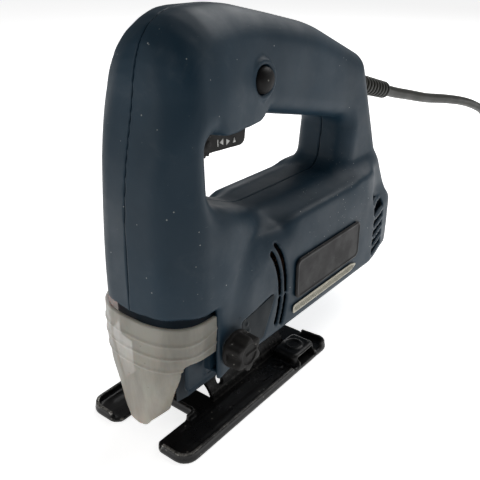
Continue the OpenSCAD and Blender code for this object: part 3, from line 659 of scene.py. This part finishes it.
def shoe_form(x, y, z):
    """Pressed plate: turned-up edges, long beads, a window for the saddle and a bridge for each fence bar."""
    half = np.abs(y)
    inside = shoe_line(x, half)
    plate = meet(inside, np.abs(z - PLATE_T / 2) - PLATE_T / 2, 0.6)
    dip = 2.4 * (1 - np.clip(np.abs(np.abs(x - FENCE_X) - 11) / 3.5, 0, 1) ** 2)
    top = RIM_TOP - dip * (half > 25)
    rim = meet(meet(inside, -(inside + 1.9), 0.5), np.maximum(z - top, 0.5 - z), 0.7)
    rim = np.maximum(rim, np.where(x > 0, 17 - half, np.where(x < -90, 15 - half, -9)))
    form = join(plate, rim, 1.6)
    for place, start, end in SHOE_BEADS:
        along = np.maximum(np.abs(x - (start + end) / 2) - (end - start) / 2, 0)
        bead = np.hypot(np.hypot(along, half - place), (z - 0.9) * 1.3) - 1.7
        form = join(form, np.maximum(bead, 0.6 - z), 1.2)
    bridge = meet(meet(np.abs(x - FENCE_X) - 10, np.abs(half - 22.8) - 7.8, 3.5), z - 8.4, 2.4)
    form = join(form, np.maximum(bridge, 0.6 - z), 1.5)
    ring = np.hypot(np.hypot(x - FENCE_X, half - 22.5) - 4.2, z - 8.3) - 0.8
    form = join(form, ring, 0.5)
    form = cut(form, np.maximum(np.abs(x - FENCE_X) - 7, np.abs(z - 4.2) - 2.2), 0.4)
    for place in SHOE_DIMPLES:
        dimple = np.hypot(np.hypot(x - place, half - 22) - 2.4, z - 2) - 0.55
        form = join(form, dimple, 0.3)
    window = np.maximum(np.abs(x + 50.25) - 29.75, half - 12.5)
    return cut(form, window, 0.5)


def make_shoe():
    """The shoe's plate; its saddle is the CAD's own piece."""
    solid("shoe_plate_pressed", shoe_form, (-101, -34, -1.5), (23, 34, 10.5), 0.75, "shoe", "shoe_black",
          ["shoe_plate"], (((-90, -66, 0.6),), (), ((-1.5, 10.5, 0.55),)))


# ---- knob, button, dial and trigger ---------------------------------------------------------------


def knob_form(x, y, z):
    """Six soft lobes on a round base, with a dished face and a pointer bar."""
    dx, dz = x - KNOB[0], z - KNOB[1]
    r, turn = np.hypot(dx, dz), np.arctan2(dz, dx)
    lobes = r - (8.0 + 1.25 * np.cos(6 * turn - math.pi)) + 0.05 * (y - 33)
    grip = meet(lobes, np.abs(y - 36.4) - 3.6, 1.0)
    base = meet(r - 9.2, np.abs(y - 32.3) - 1.1, 0.6)
    form = join(base, grip, 0.8)
    form = cut(form, np.maximum(r - 4.9, 39.4 - y), 0.4)
    pointer = meet(np.abs(dz) - 0.6, np.maximum(np.abs(dx + 1.5) - 3.2, y - 40), 0.3)
    return join(form, np.maximum(pointer, 38 - y), 0.3)


def dial_form(x, y, z):
    """A thin wheel with a fluted rim."""
    dx, dz = x - DIAL[0], z - DIAL[1]
    turn = np.arctan2(dz, dx)
    rim = np.hypot(dx, dz) - 8.1 - 0.45 * np.clip(1.6 * np.cos(20 * turn), -1, 1)
    return meet(rim, np.abs(y) - 2.9, 0.5)


trigger_line = outline(rounded([
    (-18.2, 129.2, 3), (-18.2, 144, 0.5), (-52.8, 144, 0.5), (-50.6, 127.2, 3.5)]))


def trigger_form(x, y, z):
    """A lever with a slot for the dial and a small boss on its side."""
    form = meet(trigger_line(x, z), np.abs(y) - 9, 1.4)
    form = cut(form, np.maximum(np.abs(x - DIAL[0]) - 9.2, np.abs(y) - 3.3), 0.4)
    boss = np.maximum(np.hypot(x + 24.5, z - 133.2) - 1.4, np.abs(np.abs(y) - 9) - 0.45)
    return join(form, boss, 0.3)


def prism(corners, lo, hi, into):
    """Adds to into a flat prism whose corners are (x, z), from y lo to y hi."""
    points, faces = into
    base, n = len(points), len(corners)
    points += [(x, y, z) for y in (lo, hi) for x, z in corners]
    faces += [[base + k for k in range(n)], [base + n + k for k in range(n - 1, -1, -1)]]
    faces += [[base + (k + 1) % n, base + k, base + n + k, base + n + (k + 1) % n] for k in range(n)]


def make_controls():
    """Selector knob, speed dial, trigger with its printed marks, and lock button."""
    solid("selector_knob_lobed", knob_form, (-25, 30.6, 34), (-4, 41, 55), 0.42, "selector", "knob_black",
          ["selector_knob"])
    solid("speed_dial_fluted", dial_form, (-39, -4, 123.5), (-20, 4, 142.5), 0.4, "dial", "trigger_black",
          ["speed_dial"])
    solid("trigger_lever", trigger_form, (-54, -10.5, 126), (-17, 10.5, 145), 0.6, "trigger_body",
          "trigger_black", ["trigger"])
    dome = [(4.4, 4.2), (0, 4.2), (0, 5.9), (4.6, 5.9), (6.0, 5.6), (7.2, 4.9), (8.1, 3.6), (8.6, 1.9),
            (8.8, 0.4)]
    turned("lock_button_dome", dome, (BUTTON[0], 15, BUTTON[1]), (0, 1, 0), "lock", "trigger_black",
           ["lock_button"])
    marks = ([], [])
    for shape in ([(-31.3, 130.9), (-30.7, 130.9), (-30.7, 133.9), (-31.3, 133.9)],
                  [(-32.2, 132.3), (-34.6, 133.7), (-34.6, 130.9)],
                  [(-39.2, 131.6), (-36.8, 133.0), (-36.8, 130.2)],
                  [(-41.4, 130.2), (-43.4, 130.2), (-42.4, 132.4)]):
        prism(shape, 8.9, 9.14, marks)
    mesh = mesh_from("trigger_marks", *marks, smooth=False)
    new_object("trigger_marks", mesh, "trigger_body", "trigger_black")


# ---- plates on the side ---------------------------------------------------------------------------

PLATE_BACK = 0.3
HATCH_PITCH = 2.3
DOT_RING = 13.4
DOTS = 5


def name_plate_form(x, y, z):
    """Blank plate with a raised border."""
    inside = plate_line(x, z) + 0.15
    border = meet(np.abs(inside + 1.1) - 0.55, y - 30.75, 0.15)
    return join(meet(inside, y - 30.45, 0.2), np.maximum(border, 30 - y), 0.1)


def strip_form(x, y, z):
    """Pointed strip with slanting hatches raised on it."""
    inside = strip_line(x, z) + 0.1
    wave = np.clip(1.5 * np.sin((x + 0.8 * z) * 2 * math.pi / HATCH_PITCH), -1, 1)
    hatch = 30.3 + 0.3 * wave * (inside < -0.6)
    return meet(inside, y - hatch, 0.15)


def panel_form(x, y, z):
    """Recessed panel with a row of growing dots round the knob."""
    form = meet(panel_line(x, z) + 0.15, y - 29.0, 0.2)
    for k in range(DOTS):
        a = math.radians(100 + 19 * k)
        dx, dz = x - KNOB[0] - DOT_RING * math.cos(a), z - KNOB[1] - DOT_RING * math.sin(a)
        dot = np.hypot(dx, dz) - 0.5 - 0.16 * k
        form = join(form, np.maximum(np.maximum(dot, y - 29.35), 28.8 - y), 0.1)
    return form


def make_plates():
    """Name plate, trim strip and selector panel, each let into the housing's left side."""
    for name, form, lo, hi, slot, node in (
            ("name_plate_blank", name_plate_form, (-131.5, 29.2, 44), (-64.5, 31.2, 69), "name_plate",
             "name_plate"),
            ("trim_strip_hatched", strip_form, (-132, 29.2, 36.5), (-63, 31.2, 43.5), "trim_silver",
             "trim_strip"),
            # The selector panel's dark finish is painted shade for the recess it sits in.
            ("selector_panel_marked", panel_form, (-52, 28.0, 34), (-21, 29.9, 59), "panel_black",
             "selector_panel")):

        def field(x, y, z):
            return np.maximum(form(x, y, z), lo[1] + PLATE_BACK - y)

        solid(name, field, lo, hi, 0.5, "housing", slot, [node], ((), ((lo[1], hi[1], 0.2),), ()))


# ---- strain relief, plug and tie ------------------------------------------------------------------

RIBS = 10
RIB_PITCH = 4.2
PLUG = (-520.0, 61.5)
GRIP_PITCH = 2.4
NECK_PITCH = 3.2


def make_relief():
    """Ribbed sleeve round the cord, with a flange and a tail inside the housing."""
    profile = [(0, 3.6), (0, 4.6)]
    for k in range(RIBS):
        s, r = 0.5 + RIB_PITCH * k, 5.3 + 0.05 * k
        profile += [(s, r - 0.5), (s + 0.3, r - 0.12), (s + 0.8, r), (s + 1.8, r), (s + 2.3, r - 0.12),
                    (s + 2.6, r - 0.5), (s + 2.9, r - 1.15), (s + 3.9, r - 1.15)]
    profile += [(43.2, 5.8), (60, 5.8), (60, 8), (62, 8), (62, 3.6), (72, 3.6)]
    direction = (math.cos(RELIEF_TILT), 0, math.sin(RELIEF_TILT))
    turned("strain_relief_ribbed", profile, (RELIEF_END[0], 0, RELIEF_END[1]), direction, "housing",
           "cord_rubber", ["strain_relief"])


def plug_form(x, y, z):
    """Moulded plug: ribbed neck, waisted body with grip lines, flat face."""
    dx, dy = x - PLUG[0], np.abs(y - PLUG[1])
    ripple = 0.25 * np.cos(dx * 2 * math.pi / NECK_PITCH)
    neck = meet(np.hypot(dy, z - 3.7) - 3.6 - ripple, np.abs(dx - 9) - 9, 0.4)
    width = 9.6 + 1.4 * ease(15, 30, dx) - 1.2 * np.exp(-((dx - 22) / 3.5) ** 2)
    body = meet(meet(dy - width, np.abs(z - 8) - 7.7, 4.5), np.abs(dx - 22.9) - 8.9, 2.5)
    gripped = (np.abs(dx - 22) < 4.6) * (dy > 5)
    body = body + 0.22 * np.cos((dx - 22) * 2 * math.pi / GRIP_PITCH) * gripped
    return join(neck, body, 2.5)


def make_cord_ends():
    """The pieces that lie with the cord: its plug, the plug's pins and the tie round the coil."""
    x, y = PLUG
    plug = solid("plug_moulded", plug_form, (x - 1, y - 12.5, -0.6), (x + 33, y + 12.5, 16.6), 0.6, "housing",
                 "plug_rubber", ["plug_body"])
    tie = softened("cord_tie", 0.5, "housing", "tie_black")
    pins = softened("plug_pins", 0.4, "housing", "brass")
    return plug, tie, pins


# ---- materials ------------------------------------------------------------------------------------

SPECULAR = 0.28
SATIN_SPECULAR = 0.15
SCRATCH_STRETCH = (1, 5.5, 9)
DUSTY_SPOT = (-112, 26, 84)


class Finish:
    """A procedural material: a Principled surface whose colour, roughness and bump come from nodes."""

    def __init__(self, name):
        self.material = bpy.data.materials.new(name)
        self.material.use_nodes = True
        self.tree = self.material.node_tree
        self.surface = self.tree.nodes["Principled BSDF"]
        self.place = self.node("ShaderNodeTexCoord").outputs["Object"]
        self.normal = None

    def node(self, kind, inputs=None, **settings):
        """A new node with its settings made and its inputs filled."""
        added = self.tree.nodes.new(kind)
        for key, value in settings.items():
            setattr(added, key, value)
        for key, value in (inputs or {}).items():
            self.put(added.inputs[key], value)
        return added

    def put(self, socket, value):
        """Links an output to a socket, or sets its number or colour."""
        if isinstance(value, bpy.types.NodeSocket):
            self.tree.links.new(value, socket)
        elif isinstance(value, tuple) and len(value) == 3 and socket.type == "RGBA":
            socket.default_value = (*value, 1)
        else:
            socket.default_value = value

    def stretched(self, factors, turn=(0, 0, 0)):
        """The piece's coordinates, scaled along each axis and turned."""
        return self.node("ShaderNodeMapping", {"Vector": self.place, "Scale": factors, "Rotation": turn},
                         vector_type="POINT").outputs["Vector"]

    def noise(self, scale, detail, rough=0.55, place=None, twist=0.0):
        """Cloudy values round one half."""
        inputs = {"Vector": place or self.place, "Scale": scale, "Detail": detail, "Roughness": rough,
                  "Distortion": twist}
        return self.node("ShaderNodeTexNoise", inputs).outputs["Fac"]

    def band(self, value, a, b, low=0.0, high=1.0):
        """Maps a value between a and b to low and high, smoothly."""
        inputs = {"Value": value, "From Min": a, "From Max": b, "To Min": low, "To Max": high}
        return self.node("ShaderNodeMapRange", inputs, interpolation_type="SMOOTHSTEP").outputs["Result"]

    def sums(self, operation, a, b=0.0):
        """The result of one arithmetic step, such as ADD or LESS_THAN."""
        return self.node("ShaderNodeMath", {0: a, 1: b}, operation=operation).outputs[0]

    def mix(self, share, a, b):
        """Colour a, turned towards b by a share, through the Mix node's colour sockets 6, 7 and 2."""
        mixer = self.node("ShaderNodeMix", data_type="RGBA")
        for index, value in ((0, share), (6, a), (7, b)):
            self.put(mixer.inputs[index], value)
        return mixer.outputs[2]

    def axis(self, name):
        """The piece's X, Y or Z coordinate in metres."""
        return self.node("ShaderNodeSeparateXYZ", {"Vector": self.place}).outputs[name]

    def near(self, centre, inner, outer):
        """1 within a distance of a point in millimetres, fading to 0."""
        away = self.node("ShaderNodeVectorMath", {0: self.place, 1: tuple(v * MM for v in centre)},
                         operation="DISTANCE").outputs["Value"]
        return self.band(away, inner * MM, outer * MM, 1.0, 0.0)

    def bump(self, height, depth_mm, strength):
        """Adds a layer of relief, so many millimetres deep."""
        inputs = {"Height": height, "Distance": depth_mm * MM, "Strength": strength}
        if self.normal:
            inputs["Normal"] = self.normal
        self.normal = self.node("ShaderNodeBump", inputs).outputs["Normal"]

    def finish(self, colour, roughness, **sockets):
        """Fills the surface's sockets and returns the material."""
        self.put(self.surface.inputs["Base Color"], colour)
        self.put(self.surface.inputs["Roughness"], roughness)
        self.put(self.surface.inputs["Specular IOR Level"], SPECULAR)
        for key, value in sockets.items():
            self.put(self.surface.inputs[key.replace("_", " ")], value)
        if self.normal:
            self.put(self.surface.inputs["Normal"], self.normal)
        return self.material


def specks(f, scale, share, size, stretch=(1, 1, 1), turn=(0, 0, 0)):
    """Scattered marks: the middles of a few cells picked by their random colour."""
    cells = f.node("ShaderNodeTexVoronoi", {"Vector": f.stretched(stretch, turn), "Scale": scale})
    chance = f.node("ShaderNodeSeparateColor", {"Color": cells.outputs["Color"]}).outputs[0]
    picked = f.sums("LESS_THAN", chance, share)
    return f.sums("MULTIPLY", f.band(cells.outputs["Distance"], size * 0.5, size, 1.0, 0.0), picked)


def moulded_plastic(name, colour, roughness, worn, grain=0.025):
    """Moulded plastic: spark-eroded grain, slow changes of tone, scuffs, fine scratches and dust specks."""
    f = Finish(name)
    dark = tuple(c * 0.86 for c in colour)
    light = tuple(c * 1.12 + 0.002 for c in colour)
    tone = f.mix(f.band(f.noise(14, 4, 0.6), 0.35, 0.65), dark, light)
    if worn:
        chalk = tuple(0.55 * c + 0.10 for c in colour)
        rubbed = f.sums("MULTIPLY", f.band(f.noise(55, 6, 0.75, twist=0.4), 0.52, 0.78), 0.12 * worn)
        tone = f.mix(rubbed, tone, chalk)
        for turn, scale in (((0.3, 0.5, 0.9), 70), ((1.2, 0.2, 2.2), 77), ((0.7, 1.6, 0.1), 83)):
            marks = specks(f, scale, 0.10 * worn, 0.09, SCRATCH_STRETCH, turn)
            tone = f.mix(f.sums("MULTIPLY", marks, 0.35), tone, chalk)
        dust = specks(f, 420, 0.05 * worn, 0.17)
        tone = f.mix(f.sums("MULTIPLY", dust, 0.5), tone, (0.5, 0.52, 0.5))
        spray = f.sums("MULTIPLY", specks(f, 620, 0.3 * worn, 0.2), f.near(DUSTY_SPOT, 8, 42))
        tone = f.mix(f.sums("MULTIPLY", spray, 0.42), tone, (0.42, 0.45, 0.45))
    f.bump(f.noise(2600, 2, 0.6), grain, 0.6)
    f.bump(f.noise(160, 3, 0.5), grain * 3, 0.35)
    spread = f.band(f.noise(40, 5, 0.65), 0.3, 0.7, roughness - 0.06, roughness + 0.08)
    return f.finish(tone, spread)


def metal(name, colour, roughness, brushed=None, dulled=0.5):
    """Metal with oil-dulled patches; brushed gives the stretch of its fine turning or grinding lines."""
    f = Finish(name)
    patches = f.band(f.noise(90, 5, 0.7), 0.4, 0.7)
    tone = f.mix(f.sums("MULTIPLY", patches, dulled), colour, tuple(c * 0.55 for c in colour))
    if brushed:
        f.bump(f.noise(400, 3, 0.7, f.stretched(brushed)), 0.03, 0.5)
    else:
        f.bump(f.noise(900, 3, 0.6), 0.03, 0.4)
    f.put(f.surface.inputs["Metallic"], 1.0)
    return f.finish(tone, f.band(f.noise(120, 4), 0.3, 0.7, roughness - 0.08, roughness + 0.14))


def rubber(name, colour, roughness):
    """Soft moulded rubber or vinyl with a dusty bloom."""
    f = Finish(name)
    bloom = f.band(f.noise(120, 5, 0.7), 0.5, 0.85, 0.0, 0.22)
    tone = f.mix(bloom, colour, tuple(c * 0.8 + 0.05 for c in colour))
    f.bump(f.noise(1500, 2, 0.6), 0.02, 0.5)
    return f.finish(tone, f.band(f.noise(60, 4), 0.3, 0.7, roughness - 0.07, roughness + 0.08))


def satin(name, colour, roughness, dust, grain=0.03, scale=1400):
    """Moulded or painted black: faint grain, soft pale patches, pale dust specks scattered at random."""
    f = Finish(name)
    pale = tuple(c * 0.8 + 0.06 for c in colour)
    cloud = f.band(f.noise(70, 5, 0.7), 0.5, 0.8, 0.0, 0.3 * dust)
    tone = f.mix(cloud, colour, pale)
    tone = f.mix(f.sums("MULTIPLY", specks(f, 420, 0.08 * dust, 0.2), 0.5), tone, (0.35, 0.34, 0.31))
    f.bump(f.noise(scale, 2, 0.6), grain, 0.6)
    return f.finish(tone, f.band(f.noise(90, 4), 0.3, 0.7, roughness - 0.08, roughness + 0.1),
                    Specular_IOR_Level=SATIN_SPECULAR)


def worn_paint(name, colour, bare, roughness):
    """Glossy black paint on pressed steel, rubbed bare on proud edges and scratched along the shoe."""
    f = Finish(name)
    pointy = f.node("ShaderNodeNewGeometry").outputs["Pointiness"]
    torn = f.noise(420, 4, 0.75)
    edge = f.band(f.sums("ADD", pointy, f.sums("MULTIPLY", torn, 0.12)), 0.592, 0.63)
    front = f.band(f.axis("X"), 5 * MM, 20 * MM, 0.25, 1.0)
    worn = f.sums("MULTIPLY", edge, front)
    long_marks = f.band(f.noise(160, 4, 0.7, f.stretched((0.12, 1, 1))), 0.62, 0.72, 0.0, 0.3)
    tone = f.mix(long_marks, colour, tuple(c * 1.5 + 0.03 for c in colour))
    tone = f.mix(f.sums("MULTIPLY", specks(f, 330, 0.16, 0.22), 0.45), tone, (0.22, 0.21, 0.19))
    tone = f.mix(worn, tone, bare)
    f.bump(f.noise(800, 3, 0.6), 0.04, 0.5)
    f.bump(f.sums("MULTIPLY", worn, -1.0), 0.05, 0.6)
    f.put(f.surface.inputs["Metallic"], f.sums("MULTIPLY", worn, 0.7))
    return f.finish(tone, f.band(f.noise(110, 4), 0.3, 0.7, roughness - 0.07, roughness + 0.12))


def clear_guard(name):
    """Yellowed clear plastic, frosted by years of dust, streaked down the tongue and clearer in the band."""
    f = Finish(name)
    streaks = f.band(f.noise(60, 5, 0.65, f.stretched((1, 1, 0.25))), 0.35, 0.7)
    tone = f.mix(streaks, (0.46, 0.42, 0.365), (0.30, 0.275, 0.24))
    grime = f.band(f.noise(30, 4, 0.6), 0.5, 0.75, 0.0, 0.55)
    tone = f.mix(grime, tone, (0.42, 0.36, 0.27))
    tone = f.mix(f.sums("MULTIPLY", specks(f, 260, 0.12, 0.16), 0.35), tone, (0.16, 0.13, 0.1))
    high = f.band(f.axis("Z"), 20 * MM, 50 * MM, 0.0, 1.0)
    opacity = f.sums("SUBTRACT", 0.9, f.sums("MULTIPLY", high, 0.28))
    f.bump(f.noise(900, 3, 0.6), 0.03, 0.5)
    f.bump(f.noise(50, 3, 0.5), 0.2, 0.25)
    f.put(f.surface.inputs["Alpha"], opacity)
    return f.finish(tone, f.band(f.noise(80, 4), 0.3, 0.7, 0.33, 0.5), Subsurface_Weight=0.15)


def layered(name, colour, axis, pitch_mm, roughness):
    """Thin layers or turns stacked along an axis: steel laminations, wound wire."""
    f = Finish(name)
    wave = f.sums("SINE", f.sums("MULTIPLY", f.axis(axis), 2 * math.pi / (pitch_mm * MM)))
    tone = f.mix(f.band(wave, -1.0, -0.4, 1.0, 0.0), colour, tuple(c * 0.35 for c in colour))
    tone = f.mix(f.band(f.noise(150, 4, 0.7), 0.45, 0.75, 0.0, 0.5), tone, tuple(c * 0.6 for c in colour))
    f.bump(wave, 0.08 * pitch_mm, 0.8)
    f.put(f.surface.inputs["Metallic"], 1.0)
    return f.finish(tone, f.band(f.noise(200, 3), 0.3, 0.7, roughness - 0.06, roughness + 0.12))


def white_print(name):
    """Pad-printed white, slightly rubbed."""
    f = Finish(name)
    tone = f.mix(f.band(f.noise(500, 4, 0.7), 0.45, 0.7), (0.62, 0.62, 0.6), (0.3, 0.3, 0.29))
    return f.finish(tone, 0.5)


HOUSING_BLUE = (0.0058, 0.0235, 0.0410)
GEAR_CASE_BLUE = tuple(c * 0.85 for c in HOUSING_BLUE)
BLACK = (0.011, 0.0105, 0.010)

finishes = {
    "housing": moulded_plastic("housing_blue", HOUSING_BLUE, 0.49, 1.0),
    "gear_case_blue": moulded_plastic("gear_case_blue", GEAR_CASE_BLUE, 0.5, 0.3, 0.04),
    "guard_clear": clear_guard("guard_frosted"),
    "shoe_black": worn_paint("shoe_paint", (0.0085, 0.0083, 0.0085), (0.30, 0.29, 0.27), 0.3),
    "knob_black": satin("knob_plastic", (0.012, 0.0112, 0.0105), 0.62, 1.6, 0.06),
    "trigger_black": satin("control_plastic", (0.0085, 0.008, 0.008), 0.5, 0.5),
    "name_plate": satin("plate_print", (0.013, 0.0125, 0.013), 0.45, 1.1, 0.02, 900),
    "trim_silver": metal("strip_foil", (0.46, 0.44, 0.37), 0.42, None, 0.35),
    # The selector panel is drawn near-black blue as painted shade for its recess; the real panel is the
    # housing's blue.
    "panel_black": satin("panel_painted_shade", (0.007, 0.012, 0.016), 0.55, 0.4),
    "cord_rubber": rubber("cord_sheath", (0.0145, 0.0145, 0.0105), 0.46),
    "plug_rubber": rubber("plug_vinyl", (0.014, 0.014, 0.013), 0.45),
    "tie_black": satin("tie_strap", BLACK, 0.5, 0.4, 0.05, 700),
    "screw_steel": metal("zinc_screws", (0.50, 0.50, 0.51), 0.32),
    "black_steel": metal("blackened_steel", (0.045, 0.042, 0.038), 0.42),
    "cast_foot": metal("cast_zinc", (0.34, 0.35, 0.37), 0.45, None, 0.35),
    "lamination": layered("laminations", (0.30, 0.30, 0.31), "X", 0.7, 0.35),
    "winding": layered("enamelled_wire", (0.50, 0.20, 0.07), "X", 0.8, 0.28),
    "bearing_steel": metal("bearing_steel", (0.60, 0.60, 0.62), 0.2, (40, 1, 1), 0.25),
    "brass": metal("brass", (0.62, 0.47, 0.20), 0.3, (1, 30, 30), 0.35),
    "carbon": satin("carbon_block", (0.018, 0.018, 0.019), 0.55, 0.3, 0.04),
    "switch_black": satin("switch_moulding", BLACK, 0.4, 0.3),
    "capacitor": moulded_plastic("capacitor_epoxy", (0.45, 0.33, 0.05), 0.35, 0.0),
    "bronze": metal("sintered_bronze", (0.45, 0.27, 0.11), 0.5, None, 0.6),
    "fan_plastic": moulded_plastic("fan_moulding", (0.03, 0.03, 0.034), 0.45, 0.2),
    "gear_steel": metal("cut_steel", (0.38, 0.38, 0.39), 0.3, (1, 25, 25), 0.5),
    "clamp_steel": metal("oiled_steel", (0.16, 0.155, 0.15), 0.36),
}


# ---- assembly -------------------------------------------------------------------------------------


def paint(piece, material):
    """Gives a whole piece one finish."""
    piece.data.materials.clear()
    piece.data.materials.append(material)


# The CAD nodes shown with their sharp edges rounded, and the rounding's width in millimetres.
SOFT_EDGES = {"saddle_foot": 0.5, "foot_clamp_pad": 0.4, "foot_clamp_screw": 0.3, "housing_screws": 0.25,
              "shoe_saddle": 0.4, "roller_bracket": 0.3, "blade_clamp": 0.4, "clamp_screws": 0.2,
              "plunger_yoke": 0.4, "guide_roller": 0.3, "cord_clamp": 0.4, "drive_gear": 0.15,
              "switch_body": 0.8, "suppressor_capacitor": 1.2}

make_housing()
make_guard()
make_nose()
make_shoe()
make_controls()
make_plates()
make_relief()
plug, tie, pins = make_cord_ends()
record_slot = {row["node"]: row["material_slot"] for row in frame["record"]["subparts"]}
node_body = {node: body for body, nodes in frame["record"]["behaviour"]["bodies"].items() for node in nodes}
for node, width in SOFT_EDGES.items():
    softened(node, width, node_body[node], record_slot[node])
for node, piece in frame["nodes"].items():
    paint(piece, finishes[record_slot[node]])
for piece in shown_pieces():
    if "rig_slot" in piece:
        paint(piece, finishes[piece["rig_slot"]])
paint(bpy.data.objects["trigger_marks"], white_print("white_print"))


# ---- studio ---------------------------------------------------------------------------------------

WHITE = (1, 1, 1)
FLOOR_HALF = 6
FLOOR_GLOW = 0.77
SKY_STRENGTH = 0.14
# Each light's name, place, target, size, power and colour.
LIGHTS = (
    ("overhead", (-0.9, 0.0, 1.0), (-0.1, 0, 0.1), (1.2, 1.0), 11, WHITE),
    ("left_side", (-0.75, 1.0, 0.7), (-0.08, 0, 0.08), (0.8, 0.5), 1.0, WHITE),
    ("nose_side", (1.0, -0.35, 0.5), (-0.02, 0, 0.08), (0.7, 0.6), 2.4, (1, 0.99, 0.97)))


def soft_box(name, place, target, size, power, colour):
    """A rectangular light, aimed at a point."""
    data = bpy.data.lights.new(name, "AREA")
    data.shape = "RECTANGLE"
    data.size, data.size_y = size
    data.energy = power
    data.color = colour
    lamp = bpy.data.objects.new(name, data)
    lamp.location = place
    lamp.rotation_euler = (Vector(target) - Vector(place)).to_track_quat("-Z", "Y").to_euler()
    bpy.context.scene.collection.objects.link(lamp)


def make_studio():
    """White floor in a faint white surround, lit from above the rear, from the left and from the nose."""
    mesh = bpy.data.meshes.new("floor")
    corners = [(-FLOOR_HALF, -FLOOR_HALF, 0), (FLOOR_HALF, -FLOOR_HALF, 0), (FLOOR_HALF, FLOOR_HALF, 0),
               (-FLOOR_HALF, FLOOR_HALF, 0)]
    mesh.from_pydata(corners, [], [(0, 1, 2, 3)])
    floor = bpy.data.objects.new("floor", mesh)
    floor.location.z = cad_box[0].z
    bpy.context.scene.collection.objects.link(floor)
    f = Finish("floor")
    f.put(f.surface.inputs["Emission Color"], WHITE)
    paint(floor, f.finish((0.9, 0.9, 0.9), 0.7, Specular_IOR_Level=0.1, Emission_Strength=FLOOR_GLOW))
    world = bpy.data.worlds.new("studio")
    bpy.context.scene.world = world
    world.use_nodes = True
    sky = world.node_tree.nodes["Background"]
    sky.inputs["Color"].default_value = (*WHITE, 1)
    sky.inputs["Strength"].default_value = SKY_STRENGTH
    for light in LIGHTS:
        soft_box(*light)
    bpy.context.scene.view_settings.view_transform = "Standard"


make_studio()
